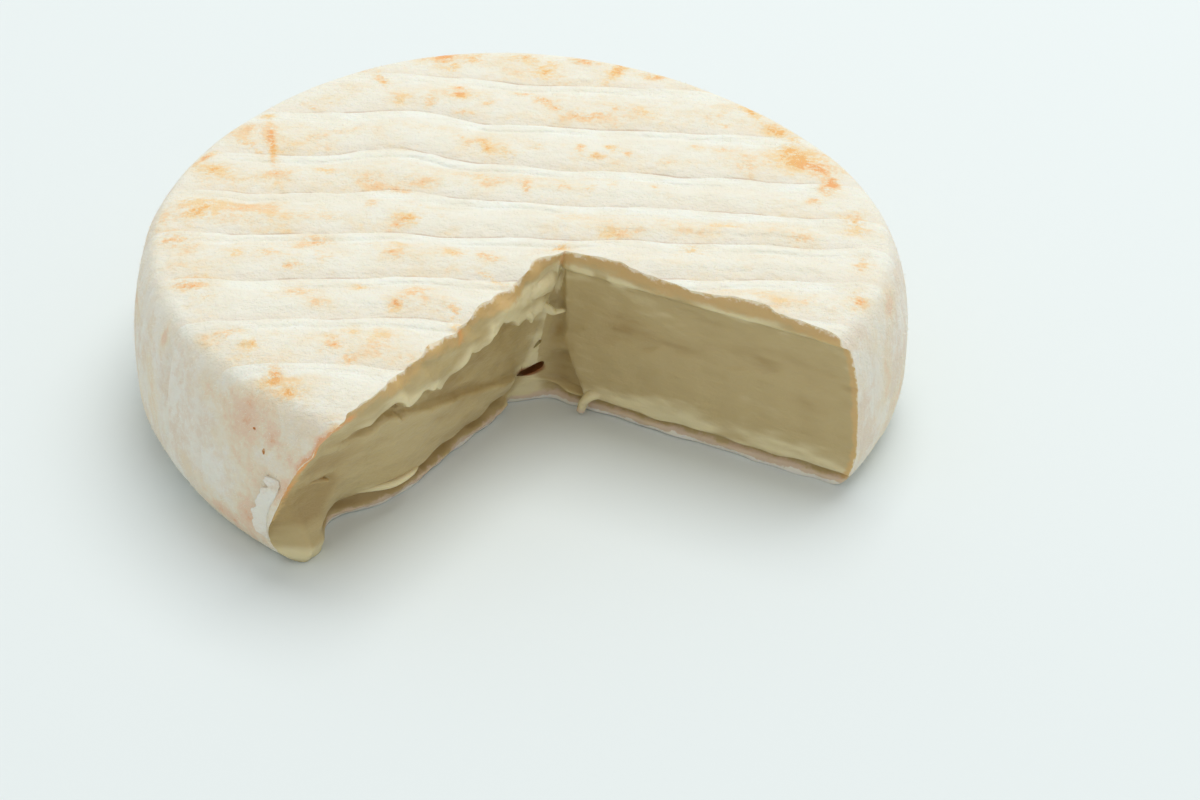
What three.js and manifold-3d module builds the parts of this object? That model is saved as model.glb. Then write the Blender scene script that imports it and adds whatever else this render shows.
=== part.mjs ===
// A soft ripened cheese: a low wheel with the marks of its ripening rack across the top, and one wedge cut
// out. It is one solid. The cut has two walls that meet at an apex near the wheel's middle, with a narrow
// facet between them lower down. The soft paste tore under the top rind and left a ledge with hanging curls,
// was smeared into a belly below it, and has run out a little past the rind at the outer end.
// Millimetres, +Z up. The origin is the wheel's centre on its flat underside, and the cut opens towards -Y.

import * as THREE from "three";
import Module from "manifold-3d";

// The wheel: its radius at the widest, its height, and how far the side draws in above and below.
const WHEEL_RADIUS = 70.9;
const WHEEL_HEIGHT = 35;
const SHOULDER = { inset: 6, drop: 20.5 };
const FOOT = { inset: 5.3, rise: 10.5 };
const OUTLINE_WAVES = [
  { turns: 1, cos: -0.3, sin: 0.8 },
  { turns: 2, cos: -0.5, sin: -0.1 },
  { turns: 3, cos: 1.1, sin: -0.5 },
  { turns: 4, cos: 1.0, sin: -0.1 },
];

// The top falls a little towards the rim, has low lumps, and sags where the cut leaves it unheld.
const RIM_FALL = 0.3;
const LUMP = { height: 0.35, alongX: 19, alongY: 23 };
const CUT_SAG = { depth: 0.9, width: 7 };

// The rack's bars: each pressed a channel along X, given by where its back crease crosses X = 0, how much it
// slants, how far it swells towards the back left of the middle, and how deep it is. From front to back.
const CHANNELS = [
  { y: -46.2, slope: 0.0, swell: 0.0, depth: 0.75 },
  { y: -31.4, slope: 0.04, swell: 0.8, depth: 0.9 },
  { y: -18.3, slope: 0.03, swell: 0.8, depth: 1.0 },
  { y: -4.7, slope: -0.01, swell: 1.5, depth: 0.9 },
  { y: 7.9, slope: -0.05, swell: 3.0, depth: 0.9 },
  { y: 21.2, slope: -0.07, swell: 5.0, depth: 1.0 },
  { y: 38.0, slope: -0.06, swell: 3.6, depth: 1.0 },
  { y: 55.2, slope: -0.06, swell: 0.8, depth: 0.8 },
];
const SWELL = { x: -24, width: 11 };
const RIPPLE = { height: 0.5, length: 21 };
const CREST_HEIGHT = 0.55;
const CHANNEL_FADE = { width: 12, atRim: 0.3 };

// Across a channel, from its crease forwards: a gentle front slope, a flat floor and a steep back wall.
const CHANNEL_SECTION = [
  { offset: -5.6, share: 0 },
  { offset: -2.9, share: 0.8 },
  { offset: -0.1, share: 1 },
  { offset: 0.8, share: 0 },
];

// Where the rows of the top end at the front and the back, and how they bend there into the round rim.
const FRONT_CAP = { chord: -54, ends: 76, rows: 3 };
const BACK_CAP = { chord: 60.6, ends: 80, rows: 2 };

// The cut: its apex on top, the way each wall runs from there, and how far its foot lies behind its top edge.
const APEX = new THREE.Vector2(8.5, -9.1);
const LEFT_WALL_ANGLE = -123;
const RIGHT_WALL_ANGLE = -26;
const LEFT_FOOT_BACK = 8.7;
const RIGHT_FOOT_BACK = 2.4;
const CUTTER_REACH = 125;

// The left wall's features: the notch in its foot, the run-out end by the rim, and the corner at the apex.
const FOOT_NOTCH = { at: 52, width: 7, depth: 5.6 };
const APEX_NOTCH = { at: 2, width: 4, depth: 1 };
const RUN_OUT = { from: 58, turn: 62.5, to: 67, slow: 1, quick: 6.3, roundness: 3 };
const CORNER = { foot: 3.2, height: 23, fade: 6 };
const WALL_GAP = 0.3;
const RIND_THICKNESS = 1.7;

// The ledge torn under the top rind, and the upper edge of the smeared belly, which climbs outwards.
const LEDGE = { height: 26.2, wave: 1.5, waveLength: 30, waveStart: 12.5, apexDrop: 4 };
const SMEAR = { height: 9.3, from: 7, climb: 0.384 };

// How finely the surfaces are divided.
const TOP_COLUMNS = 26;
const SIDE_ROWS = 5;
const WALL_STEP = 2.5;
const WALL_LENGTH = 70;
const FACET_STEPS = 4;

const wasm = await Module();
wasm.setup();

const smooth = (from, to, value) => THREE.MathUtils.smoothstep(value, from, to);
const bell = (value) => Math.exp(-value * value);
const degrees = THREE.MathUtils.degToRad;

// A low uneven wave along a length, between about -1 and 1, that doesn't seem to repeat.
function uneven(along, phase) {
  const slow = Math.sin(along * 0.31 + phase * 1.7);
  const quick = Math.sin(along * 0.77 + phase * 2.9);
  return 0.6 * slow + 0.4 * quick;
}

// A growing closed surface: points, and triangles between them.
class Surface {
  constructor() {
    this.points = [];
    this.triangles = [];
  }

  add(point) {
    this.points.push(point);
    return this.points.length - 1;
  }

  quad(a, b, c, d) {
    this.triangles.push([a, b, c], [a, c, d]);
  }

  // Joins two loops of points, one above the other, both counter-clockwise seen from above.
  bridge(lower, upper) {
    lower.forEach((a, i) => {
      const next = (i + 1) % lower.length;
      this.quad(a, lower[next], upper[next], upper[i]);
    });
  }

  // Closes a loop towards one point; the triangles face up, or down where turned is true.
  fan(centre, loop, turned) {
    loop.forEach((a, i) => {
      const b = loop[(i + 1) % loop.length];
      this.triangles.push(turned ? [centre, b, a] : [centre, a, b]);
    });
  }

  toSolid() {
    const vertProperties = new Float32Array(this.points.flatMap((p) => [p.x, p.y, p.z]));
    const triVerts = new Uint32Array(this.triangles.flat());
    return new wasm.Manifold(new wasm.Mesh({ numProp: 3, vertProperties, triVerts }));
  }
}

// A solid from loops stacked on each other, closed by a point below the first and a point above the last.
function stackedSolid(loops, start, end) {
  const surface = new Surface();
  const rings = loops.map((loop) => loop.map((point) => surface.add(point)));
  rings.slice(1).forEach((ring, i) => surface.bridge(rings[i], ring));
  surface.fan(surface.add(start), rings[0], true);
  surface.fan(surface.add(end), rings[rings.length - 1], false);
  return surface.toSolid();
}

// The wheel's radius at its widest, which waves a little round the outline.
function outlineRadius(angle) {
  const wave = ({ turns, cos, sin }) => cos * Math.cos(turns * angle) + sin * Math.sin(turns * angle);
  return OUTLINE_WAVES.reduce((radius, one) => radius + wave(one), WHEEL_RADIUS);
}

// The side's profile below and above its upright stretch, each a quarter ellipse drawn in from the widest.
const FOOT_PROFILE = { inset: FOOT.inset, height: (turn) => FOOT.rise * (1 - Math.sin(turn)) };
const SHOULDER_PROFILE = {
  inset: SHOULDER.inset,
  height: (turn, top) => top - SHOULDER.drop * (1 - Math.sin(turn)),
};

const topRadius = (angle) => outlineRadius(angle) - SHOULDER.inset;

// How far a point lies in front of the left wall's top edge, on the side of the opening.
function aheadOfLeftWall(x, y) {
  const angle = degrees(LEFT_WALL_ANGLE);
  return (y - APEX.y) * Math.cos(angle) - (x - APEX.x) * Math.sin(angle);
}

// The height of the top without its channels.
function crown(x, y) {
  const fall = RIM_FALL * (Math.hypot(x, y) / WHEEL_RADIUS) ** 4;
  const lump = LUMP.height * Math.sin(x / LUMP.alongX + 0.8) * Math.cos(y / LUMP.alongY);
  const nearCut = y < APEX.y ? bell(aheadOfLeftWall(x, y) / CUT_SAG.width) : 0;
  const sag = CUT_SAG.depth * nearCut * smooth(0, 12, APEX.y - y);
  return WHEEL_HEIGHT - fall + lump - sag;
}

// The line of a channel's crease: Y as a function of X.
function creaseLine(channel, x) {
  const swell = channel.swell * bell((x - SWELL.x) / SWELL.width);
  const ripple = RIPPLE.height * Math.sin((2 * Math.PI * x) / RIPPLE.length + channel.y);
  return channel.y + channel.slope * x + swell + ripple;
}

// The rows that follow the channels, from front to back: each has its line and its drop below the crown.
function channelRows() {
  const rows = [];
  CHANNELS.forEach((channel, i) => {
    const before = CHANNELS[i - 1];
    if (before) {
      const line = (x) => (creaseLine(before, x) + CHANNEL_SECTION[3].offset
        + creaseLine(channel, x) + CHANNEL_SECTION[0].offset) / 2;
      rows.push({ line, drop: -CREST_HEIGHT });
    }
    CHANNEL_SECTION.forEach(({ offset, share }) => {
      rows.push({ line: (x) => creaseLine(channel, x) + offset, drop: share * channel.depth });
    });
  });
  return rows;
}

// A point on top: the crown, less the row's drop, which fades towards the rim.
function topPoint(x, y, drop) {
  const inside = topRadius(Math.atan2(y, x)) - Math.hypot(x, y);
  const fade = CHANNEL_FADE.atRim + (1 - CHANNEL_FADE.atRim) * smooth(0, CHANNEL_FADE.width, inside);
  return new THREE.Vector3(x, y, crown(x, y) - drop * fade);
}

// Where a line across the top meets the rim, found by stepping outwards on the side given by sign.
function lineEnd(line, sign) {
  let x = sign * WHEEL_RADIUS * 0.7;
  for (let step = 0; step < 40; step++) {
    const y = line(x);
    x = sign * Math.sqrt(Math.max(1, topRadius(Math.atan2(y, x)) ** 2 - y * y));
  }
  return x;
}

// One row of points along a line, from the left rim to the right rim.
function rowAlongLine({ line, drop }) {
  const left = lineEnd(line, -1);
  const right = lineEnd(line, 1);
  return Array.from({ length: TOP_COLUMNS + 1 }, (_, i) => {
    const x = THREE.MathUtils.lerp(left, right, i / TOP_COLUMNS);
    return topPoint(x, line(x), drop);
  });
}

// The point of the top's rim at an angle.
function rimPoint(angle) {
  return new THREE.Vector2(Math.cos(angle), Math.sin(angle)).multiplyScalar(topRadius(angle));
}

// The rows of a cap, which bend from a straight chord to the round rim. Side is 1 at the back, -1 in front.
function capRows(cap, side) {
  const start = Math.asin(Math.abs(cap.chord) / topRadius((side * Math.PI) / 2));
  return Array.from({ length: cap.rows + 1 }, (_, k) => {
    const bow = k / cap.rows;
    const end = THREE.MathUtils.lerp(start, degrees(cap.ends), bow);
    return Array.from({ length: TOP_COLUMNS + 1 }, (_, i) => {
      const share = i / TOP_COLUMNS;
      const chord = rimPoint(side * (Math.PI - end)).lerp(rimPoint(side * end), share);
      const place = chord.lerp(rimPoint(side * THREE.MathUtils.lerp(Math.PI - end, end, share)), bow);
      return topPoint(place.x, place.y, 0);
    });
  });
}

// The whole wheel: the top's rows, rings down the side below their outline, and a flat underside.
function wheelSolid() {
  const front = capRows(FRONT_CAP, -1).reverse();
  const rows = [...front, ...channelRows().map(rowAlongLine), ...capRows(BACK_CAP, 1)];
  const surface = new Surface();
  const grid = rows.map((row) => row.map((point) => surface.add(point)));
  grid.slice(1).forEach((row, r) => {
    for (let c = 0; c < TOP_COLUMNS; c++) surface.quad(grid[r][c], grid[r][c + 1], row[c + 1], row[c]);
  });

  const last = grid.length - 1;
  const rim = [
    ...grid[0],
    ...grid.slice(1, last).map((row) => row[TOP_COLUMNS]),
    ...grid[last].slice().reverse(),
    ...grid.slice(1, last).map((row) => row[0]).reverse(),
  ];
  const sides = sideRings(rim.map((index) => surface.points[index]));
  const rings = sides.map((ring) => ring.map((point) => surface.add(point)));
  [...rings.slice(1), rim].forEach((ring, i) => surface.bridge(rings[i], ring));
  surface.fan(surface.add(new THREE.Vector3(0, 0, 0)), rings[0], true);
  return surface.toSolid();
}

// Rings from the foot up to just below the rim: a quarter ellipse, a short upright stretch, and another that
// meets the rim.
function sideRings(rim) {
  const turns = Array.from({ length: SIDE_ROWS }, (_, row) => ((row / SIDE_ROWS) * Math.PI) / 2);
  const foot = turns.map((turn) => ({ ...FOOT_PROFILE, turn: Math.PI / 2 - turn }));
  const shoulder = turns.map((turn) => ({ ...SHOULDER_PROFILE, turn }));
  const levels = [...foot, { ...FOOT_PROFILE, turn: 0 }, ...shoulder];
  return levels.map((level) => rim.map((top) => sidePoint(top, level)));
}

// The point of the side below a point of the top's rim, at one level of the profile.
function sidePoint(top, { inset, height, turn }) {
  const angle = Math.atan2(top.y, top.x);
  const radius = outlineRadius(angle) - inset * (1 - Math.cos(turn));
  return new THREE.Vector3(radius * Math.cos(angle), radius * Math.sin(angle), height(turn, top.z));
}

// One wall's frame: the way it runs from the apex, and the way it faces, towards the opening.
function wallFrame(angle, side) {
  const along = new THREE.Vector2(Math.cos(degrees(angle)), Math.sin(degrees(angle)));
  const facing = new THREE.Vector2(-side * along.y, side * along.x);
  return { along, facing };
}

const LEFT_WALL = wallFrame(LEFT_WALL_ANGLE, 1);
const RIGHT_WALL = wallFrame(RIGHT_WALL_ANGLE, -1);

// The left wall's foot line: how far it lies behind the top edge, notched and then running out at the rim.
function leftFoot(t) {
  const notches = [FOOT_NOTCH, APEX_NOTCH].map(({ at, width, depth }) => depth * bell((t - at) / width));
  const slow = RUN_OUT.slow * smooth(RUN_OUT.from, RUN_OUT.turn, t);
  const quick = RUN_OUT.quick * smooth(RUN_OUT.turn, RUN_OUT.to, t);
  return LEFT_FOOT_BACK + notches[0] + notches[1] + slow + quick;
}

// How far the left wall's plain leaning surface lies behind its top edge at a height.
function leftLean(t, z) {
  const height = THREE.MathUtils.clamp(z / WHEEL_HEIGHT, 0, 1);
  const rounded = smooth(50, RUN_OUT.to, t);
  const share = THREE.MathUtils.lerp(1 - height, 1 - height ** RUN_OUT.roundness, rounded);
  return leftFoot(t) * share;
}

const ledgeHeight = (t) => LEDGE.height
  + LEDGE.wave * Math.sin((2 * Math.PI * (t - LEDGE.waveStart)) / LEDGE.waveLength)
  - LEDGE.apexDrop * (1 - smooth(5, 12, t)) + 0.5 * uneven(t, 1);
const smearHeight = (t) => Math.min(SMEAR.height + SMEAR.climb * (t - SMEAR.from), ledgeHeight(t) - 3);

// The smeared belly starts a little way from the apex, and it and the torn ledge die out before the rim.
const belly = (t) => smooth(1, 8, t) * (1 - smooth(50, 60, t));
const torn = (t) => 1 - smooth(60, 65, t);

// The left wall from below the foot to above the top: the height of each row, and how far it stands proud.
const LEFT_ROWS = [
  { height: () => -1.5, proud: () => 0 },
  { height: () => 0, proud: (t) => 0.4 * uneven(t, 2) },
  { height: () => RIND_THICKNESS, proud: (t) => 0.4 + 0.4 * uneven(t, 3) },
  { height: (t) => 3.7 + 0.3 * uneven(t, 4), proud: (t) => -1.7 * belly(t) },
  { height: () => 6.2, proud: (t) => (0.8 + 0.3 * uneven(t, 5)) * belly(t) },
  { height: (t) => smearHeight(t) - 0.8, proud: (t) => (1.2 + 0.3 * uneven(t, 6)) * belly(t) },
  { height: (t) => smearHeight(t) + 0.8, proud: (t) => -0.7 * belly(t) },
  { height: (t) => (smearHeight(t) + ledgeHeight(t)) / 2, proud: (t) => -1.3 * smooth(0, 6, t) * torn(t) },
  { height: (t) => ledgeHeight(t) - 0.9, proud: (t) => (-1.8 + 0.3 * uneven(t, 7)) * torn(t) },
  { height: (t) => ledgeHeight(t) + 0.3, proud: (t) => (1.0 + 0.6 * uneven(t, 8)) * torn(t) },
  { height: (t) => (ledgeHeight(t) + 33) / 2, proud: (t) => (0.6 + 0.2 * uneven(t, 9)) * torn(t) },
  { height: () => 33, proud: (t) => 0.2 * uneven(t, 10) },
  { height: () => 36, proud: (t) => 0.4 * uneven(t, 11) },
  { height: () => 42, proud: () => 0 },
];

// The right wall is smoother: a thin lip under the rind, faint smears, and a step above the bottom rind.
const RIGHT_ROWS = [
  { height: () => -1.5, proud: () => 0 },
  { height: () => 0, proud: (t) => 0.3 * uneven(t, 12) },
  { height: () => RIND_THICKNESS - 0.3, proud: (t) => 0.3 * uneven(t, 13) },
  { height: () => 2.5, proud: () => -1.1 },
  { height: (t) => 3.9 + 0.5 * uneven(t, 14), proud: () => 0.7 },
  { height: () => 10, proud: (t) => 0.4 + 0.3 * uneven(t, 15) },
  { height: (t) => 16 + 0.1 * t + uneven(t, 19), proud: (t) => 0.2 + 0.2 * uneven(t, 20) },
  { height: (t) => 18 + 0.1 * t + uneven(t, 19), proud: (t) => -0.2 + 0.1 * uneven(t, 21) },
  { height: () => 25, proud: (t) => -0.4 + 0.3 * uneven(t, 16) },
  { height: () => 30.4, proud: () => -0.4 },
  { height: () => 31.6, proud: (t) => 0.5 + 0.2 * uneven(t, 17) },
  { height: () => 33, proud: () => 0.1 },
  { height: () => 36, proud: (t) => 0.3 * uneven(t, 18) },
  { height: () => 42, proud: () => 0 },
];

// A point on a wall, t along it from the apex and off in front of its top edge's line.
function wallPoint({ along, facing }, t, off, z) {
  const x = APEX.x + along.x * t + facing.x * off;
  const y = APEX.y + along.y * t + facing.y * off;
  return new THREE.Vector3(x, y, z);
}

// Low down, the left wall stops short of the apex and leaves room for the facet between the walls.
function leftPoint(t, { height, proud }) {
  const z = height(t);
  const corner = CORNER.foot * (1 - smooth(0, CORNER.height, z)) * Math.max(0, 1 - t / CORNER.fade);
  return wallPoint(LEFT_WALL, t + WALL_GAP + corner, proud(t) - leftLean(t, z), z);
}

function rightPoint(t, { height, proud }) {
  const z = height(t);
  const lean = RIGHT_FOOT_BACK * (1 - THREE.MathUtils.clamp(z / WHEEL_HEIGHT, 0, 1));
  return wallPoint(RIGHT_WALL, t + WALL_GAP, proud(t) - lean, z);
}

// The facet between the walls, with a fold pressed back near its right edge.
function facetPoints(left, right) {
  return Array.from({ length: FACET_STEPS }, (_, i) => {
    const share = (i + 1) / (FACET_STEPS + 1);
    const point = left.clone().lerp(right, share);
    const room = Math.min(1, left.distanceTo(right) / 6);
    point.y += 1.9 * room * Math.sin(Math.PI * share ** 1.6);
    return point;
  });
}

// The space of the removed wedge: at each row, both walls and the facet between them, closed far outside.
function wedgeSolid() {
  const steps = Array.from({ length: WALL_LENGTH / WALL_STEP + 1 }, (_, i) => i * WALL_STEP);
  steps.push(76, CUTTER_REACH);
  const loops = LEFT_ROWS.map((leftRow, k) => {
    const left = steps.map((t) => leftPoint(t, leftRow));
    const right = steps.map((t) => rightPoint(t, RIGHT_ROWS[k]));
    const facet = facetPoints(left[0], right[0]);
    return [...left.reverse(), ...facet, ...right].reverse();
  });
  const middle = wallPoint(wallFrame((LEFT_WALL_ANGLE + RIGHT_WALL_ANGLE) / 2, 1), 60, 0, 0);
  const below = middle.clone().setZ(LEFT_ROWS[0].height());
  const above = middle.clone().setZ(LEFT_ROWS[LEFT_ROWS.length - 1].height());
  return stackedSolid(loops, below, above);
}

// A curl of soft paste: a round tongue along a smooth path, thick at its root and blunt at its tip.
function curlSolid({ path, root, tip }) {
  const SEGMENTS = 8;
  const SIDES = 8;
  const curve = new THREE.CatmullRomCurve3(path);
  const frames = curve.computeFrenetFrames(SEGMENTS, false);
  const loops = Array.from({ length: SEGMENTS + 1 }, (_, i) => {
    const share = i / SEGMENTS;
    const radius = THREE.MathUtils.lerp(root, tip, share);
    return Array.from({ length: SIDES }, (_, side) => {
      const angle = (2 * Math.PI * side) / SIDES;
      return curve.getPointAt(share)
        .addScaledVector(frames.normals[i], radius * Math.cos(angle))
        .addScaledVector(frames.binormals[i], radius * Math.sin(angle));
    });
  });
  const end = curve.getPointAt(1).addScaledVector(frames.tangents[SEGMENTS], tip * 0.7);
  return stackedSolid(loops, curve.getPointAt(0), end);
}

// Paths are given on a wall: t along it, how far in front of its leaning surface, and the height.
const onLeft = (t, off, z) => wallPoint(LEFT_WALL, t, off - leftLean(t, z), z);
const onRight = (t, off, z) => wallPoint(RIGHT_WALL, t, off - RIGHT_FOOT_BACK * (1 - z / WHEEL_HEIGHT), z);

const CURLS = [
  // Two curls hang from the ledge near the apex, the first swinging towards it.
  {
    path: [onLeft(5, -1.2, 24.6), onLeft(2.6, 0.6, 23.2), onLeft(0.6, 2.0, 21.8), onLeft(-0.8, 3.0, 21.2)],
    root: 1.9,
    tip: 0.5,
  },
  { path: [onLeft(8.4, -1, 26), onLeft(7.6, 0.9, 24.6), onLeft(6.8, 1.8, 22.8)], root: 1.8, tip: 0.5 },
  // A short one hangs at the outer end of the ledge.
  { path: [onLeft(58.5, -1.4, 26.5), onLeft(61, 0.4, 24.5), onLeft(62.6, 0.6, 22)], root: 1.8, tip: 0.6 },
  // A roll of paste lies along the foot of the belly.
  {
    path: [
      onLeft(34, -1.2, 6.4), onLeft(38, 0.9, 6.6), onLeft(43, 1.3, 6.2), onLeft(48, -0.2, 6.4),
      onLeft(51, -1.6, 7),
    ],
    root: 1.0,
    tip: 0.9,
  },
  // A drip hangs from the right wall's step down to the foot.
  {
    path: [onRight(7.4, -0.9, 4.8), onRight(5.2, 0.7, 4.2), onRight(4.2, 1.7, 2.6), onRight(3.8, 2.0, 0.9)],
    root: 1.1,
    tip: 0.6,
  },
  // A rounded lip stands along the foot of the paste that ran out.
  {
    path: [onLeft(55.5, -2.4, 2.2), onLeft(59, -1.8, 2.0), onLeft(62, -0.8, 2.0), onLeft(64.5, -1.5, 2.2)],
    root: 1.4,
    tip: 1.4,
  },
];

// The hollow that the tearing left beside the facet: a flattened ball pressed into the paste.
const HOLLOW = {
  place: new THREE.Vector3(2.0, -5.2, 7.2),
  size: new THREE.Vector3(3.3, 3, 1.4),
  tilt: -18,
};

function hollowSolid() {
  const sides = 10;
  const loops = [-0.8, -0.4, 0, 0.4, 0.8].map((height) => {
    const radius = Math.sqrt(1 - height * height);
    return Array.from({ length: sides }, (_, i) => {
      const angle = (2 * Math.PI * i) / sides;
      return placeInHollow(new THREE.Vector3(radius * Math.cos(angle), radius * Math.sin(angle), height));
    });
  });
  const bottom = placeInHollow(new THREE.Vector3(0, 0, -1));
  const top = placeInHollow(new THREE.Vector3(0, 0, 1));
  return stackedSolid(loops, bottom, top);
}

function placeInHollow(point) {
  const turned = point.multiply(HOLLOW.size).applyAxisAngle(new THREE.Vector3(0, 1, 0), degrees(HOLLOW.tilt));
  return turned.add(HOLLOW.place);
}

function cheeseSolid() {
  const cut = wheelSolid().subtract(wedgeSolid());
  const curled = CURLS.map(curlSolid).reduce((solid, curl) => solid.add(curl), cut);
  return curled.subtract(hollowSolid());
}

function toGeometry(solid) {
  const { numProp, vertProperties, triVerts } = solid.getMesh();
  const positions = new Float32Array((vertProperties.length / numProp) * 3);
  for (let i = 0; i < positions.length / 3; i++) {
    positions.set(vertProperties.subarray(i * numProp, i * numProp + 3), i * 3);
  }
  const geometry = new THREE.BufferGeometry();
  geometry.setAttribute("position", new THREE.BufferAttribute(positions, 3));
  geometry.setIndex(new THREE.BufferAttribute(triVerts, 1));
  geometry.computeVertexNormals();
  return geometry;
}

// The white mould of the rind, slightly creamy where the orange crust shows through it.
const rindMaterial = new THREE.MeshStandardMaterial({ color: 0xf4ead8, roughness: 0.85, metalness: 0 });

const cheese = new THREE.Mesh(toGeometry(cheeseSolid()), rindMaterial);
cheese.name = "cheese";

const reblochon = new THREE.Group();
reblochon.add(cheese);

export default reblochon;
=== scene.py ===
import math

import bpy
import numpy as np
from mathutils import Matrix


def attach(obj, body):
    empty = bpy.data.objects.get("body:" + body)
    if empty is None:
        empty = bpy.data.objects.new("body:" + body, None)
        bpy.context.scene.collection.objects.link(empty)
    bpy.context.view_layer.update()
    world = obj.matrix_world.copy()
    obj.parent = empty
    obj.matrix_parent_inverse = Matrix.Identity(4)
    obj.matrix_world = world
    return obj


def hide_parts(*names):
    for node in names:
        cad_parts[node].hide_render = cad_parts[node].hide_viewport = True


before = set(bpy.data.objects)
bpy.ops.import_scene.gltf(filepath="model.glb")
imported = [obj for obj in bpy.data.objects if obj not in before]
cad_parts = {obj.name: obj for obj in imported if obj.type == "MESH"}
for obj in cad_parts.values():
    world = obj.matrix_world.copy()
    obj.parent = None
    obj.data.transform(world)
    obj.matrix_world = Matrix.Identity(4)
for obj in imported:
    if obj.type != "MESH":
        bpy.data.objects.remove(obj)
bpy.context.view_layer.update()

# The view: the wheel from the front and above through a long lens, with the cut-out towards the camera. The
# camera stands about half a metre away, looks down by about 35 degrees and leans one degree to one side.
LENS_LENGTH, CAMERA_PLACE = 81, (0.0157, -0.4231, 0.2898)
LOOK_DOWN, LEAN = 34.7565, 1.2025
camera_lens = bpy.data.cameras.new("camera")
camera_lens.lens = LENS_LENGTH
camera = bpy.data.objects.new("camera", camera_lens)
bpy.context.collection.objects.link(camera)
camera.matrix_world = (
    Matrix.Translation(CAMERA_PLACE)
    @ Matrix.Rotation(math.radians(90 - LOOK_DOWN), 4, "X")
    @ Matrix.Rotation(math.radians(LEAN), 4, "Z")
)
bpy.context.scene.camera = camera

# The wheel: soft paste in a washed rind. It ripened on a rack whose bars pressed a channel across the top
# every 14 mm or so, and washing and turning by hand left its outline and its side a little uneven. Lengths
# here are in millimetres, and a mesh is made in metres.
MM = 0.001
WHEEL_RADIUS = 70.9
WHEEL_HEIGHT = 35
SHOULDER_INSET, SHOULDER_DROP = 6, 20.5
FOOT_INSET, FOOT_RISE = 5.3, 10.5
BROAD_LUMP, SMALL_LUMP = 0.4, 0.16
GROOVE_ANGLE, GROOVE_DEPTH = -math.radians(149.8), 0.8
SWELL_ANGLE, SWELL_HEIGHT = -math.radians(147.6), 0.5
OUTLINE_WAVES = ((1, -0.3, 0.8), (2, -0.5, -0.1), (3, 1.1, -0.5), (4, 1.0, -0.1))
RIM_FALL, FRONT_ROUNDING, BACK_ROUNDING, ROUNDED_WIDTH = 0.3, 1.3, 0.2, 9
LUMP_HEIGHT, MOULD_RELIEF = 0.35, (0.2, 0.09)
APEX, LEFT_WALL_ANGLE = np.array((8.5, -9.1)), math.radians(-123)
SAG_DEPTH, SAG_WIDTH = 0.9, 7

CREASE_Y = np.array((-46.2, -31.4, -18.3, -4.7, 7.9, 21.2, 38.0, 55.2))
CREASE_SLOPE = np.array((0, 0.04, 0.03, -0.01, -0.05, -0.07, -0.06, -0.06))
CREASE_SWELL = np.array((0, 0.8, 0.8, 1.5, 3.0, 5.0, 3.6, 0.8))
CHANNEL_DEPTH = np.array((0.75, 0.9, 1.0, 0.9, 0.9, 1.0, 1.0, 0.8))
CHANNEL_FRONT, FLOOR_FRONT, CREASE, CHANNEL_BACK = -5.6, -2.9, -0.2, 2.3
PRESSED_SHARE, NOTCH_DEPTH, FOLD_AHEAD, FOLD_DEPTH, FOLD_ROLL = 0.56, 0.11, 2.6, 0.24, 0.2
CREST_HEIGHT, DEPTH_AT_RIM, FADE_WIDTH = 0.4, 0.12, 16


def bell(value):
    """1 at 0, falling towards 0 on both sides: e to the power of minus the square."""
    return np.exp(-np.square(value))


def smooth(low, high, value):
    """0 up to low and 1 from high on, with level ends between: three squares less two cubes of the share."""
    share = np.clip((value - low) / (high - low), 0, 1)
    return share * share * (3 - 2 * share)


LATTICE = 128


def wander(u, v, seed):
    """A smooth random height between -1 and 1: seeded heights at whole numbers of u and v, blended between
    the four corners of each cell by the level-ended share."""
    lattice = np.random.default_rng(seed).uniform(-1, 1, (LATTICE, LATTICE))
    u, v = np.broadcast_arrays(np.asarray(u, float), np.asarray(v, float))
    column, row = np.floor(u).astype(int), np.floor(v).astype(int)
    across, along = smooth(0, 1, u - column), smooth(0, 1, v - row)
    left, right, near, far = column % LATTICE, (column + 1) % LATTICE, row % LATTICE, (row + 1) % LATTICE
    near = lattice[near, left] * (1 - across) + lattice[near, right] * across
    far = lattice[far, left] * (1 - across) + lattice[far, right] * across
    return near * (1 - along) + far * along


def outline_radius(angle):
    """The wheel's radius at its widest: the mean radius and four waves round the outline."""
    waves = [cos * np.cos(turns * angle) + sin * np.sin(turns * angle) for turns, cos, sin in OUTLINE_WAVES]
    return WHEEL_RADIUS + sum(waves)


def top_radius(angle):
    """The radius of the top's rim, inside the rounded shoulder."""
    return outline_radius(angle) - SHOULDER_INSET


def ahead_of_left_wall(x, y):
    """How far a point lies in front of the left wall's top edge, on the side of the opening."""
    return (y - APEX[1]) * math.cos(LEFT_WALL_ANGLE) - (x - APEX[0]) * math.sin(LEFT_WALL_ANGLE)


def crease_lines(x):
    """The Y of each channel's crease at X: a slanted line, swollen towards the back left of the middle,
    that wavers by up to half a millimetre."""
    x = np.asarray(x, float)
    column = (slice(None),) + (None,) * x.ndim
    waver = 0.25 * np.sin(2 * np.pi * x / 21 + CREASE_Y[column])
    waver = waver + 0.35 * wander(x / 8, CREASE_Y[column], 5) + 0.16 * wander(x / 2.7, CREASE_Y[column], 6)
    return CREASE_Y[column] + CREASE_SLOPE[column] * x + CREASE_SWELL[column] * bell((x + 24) / 11) + waver


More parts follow.
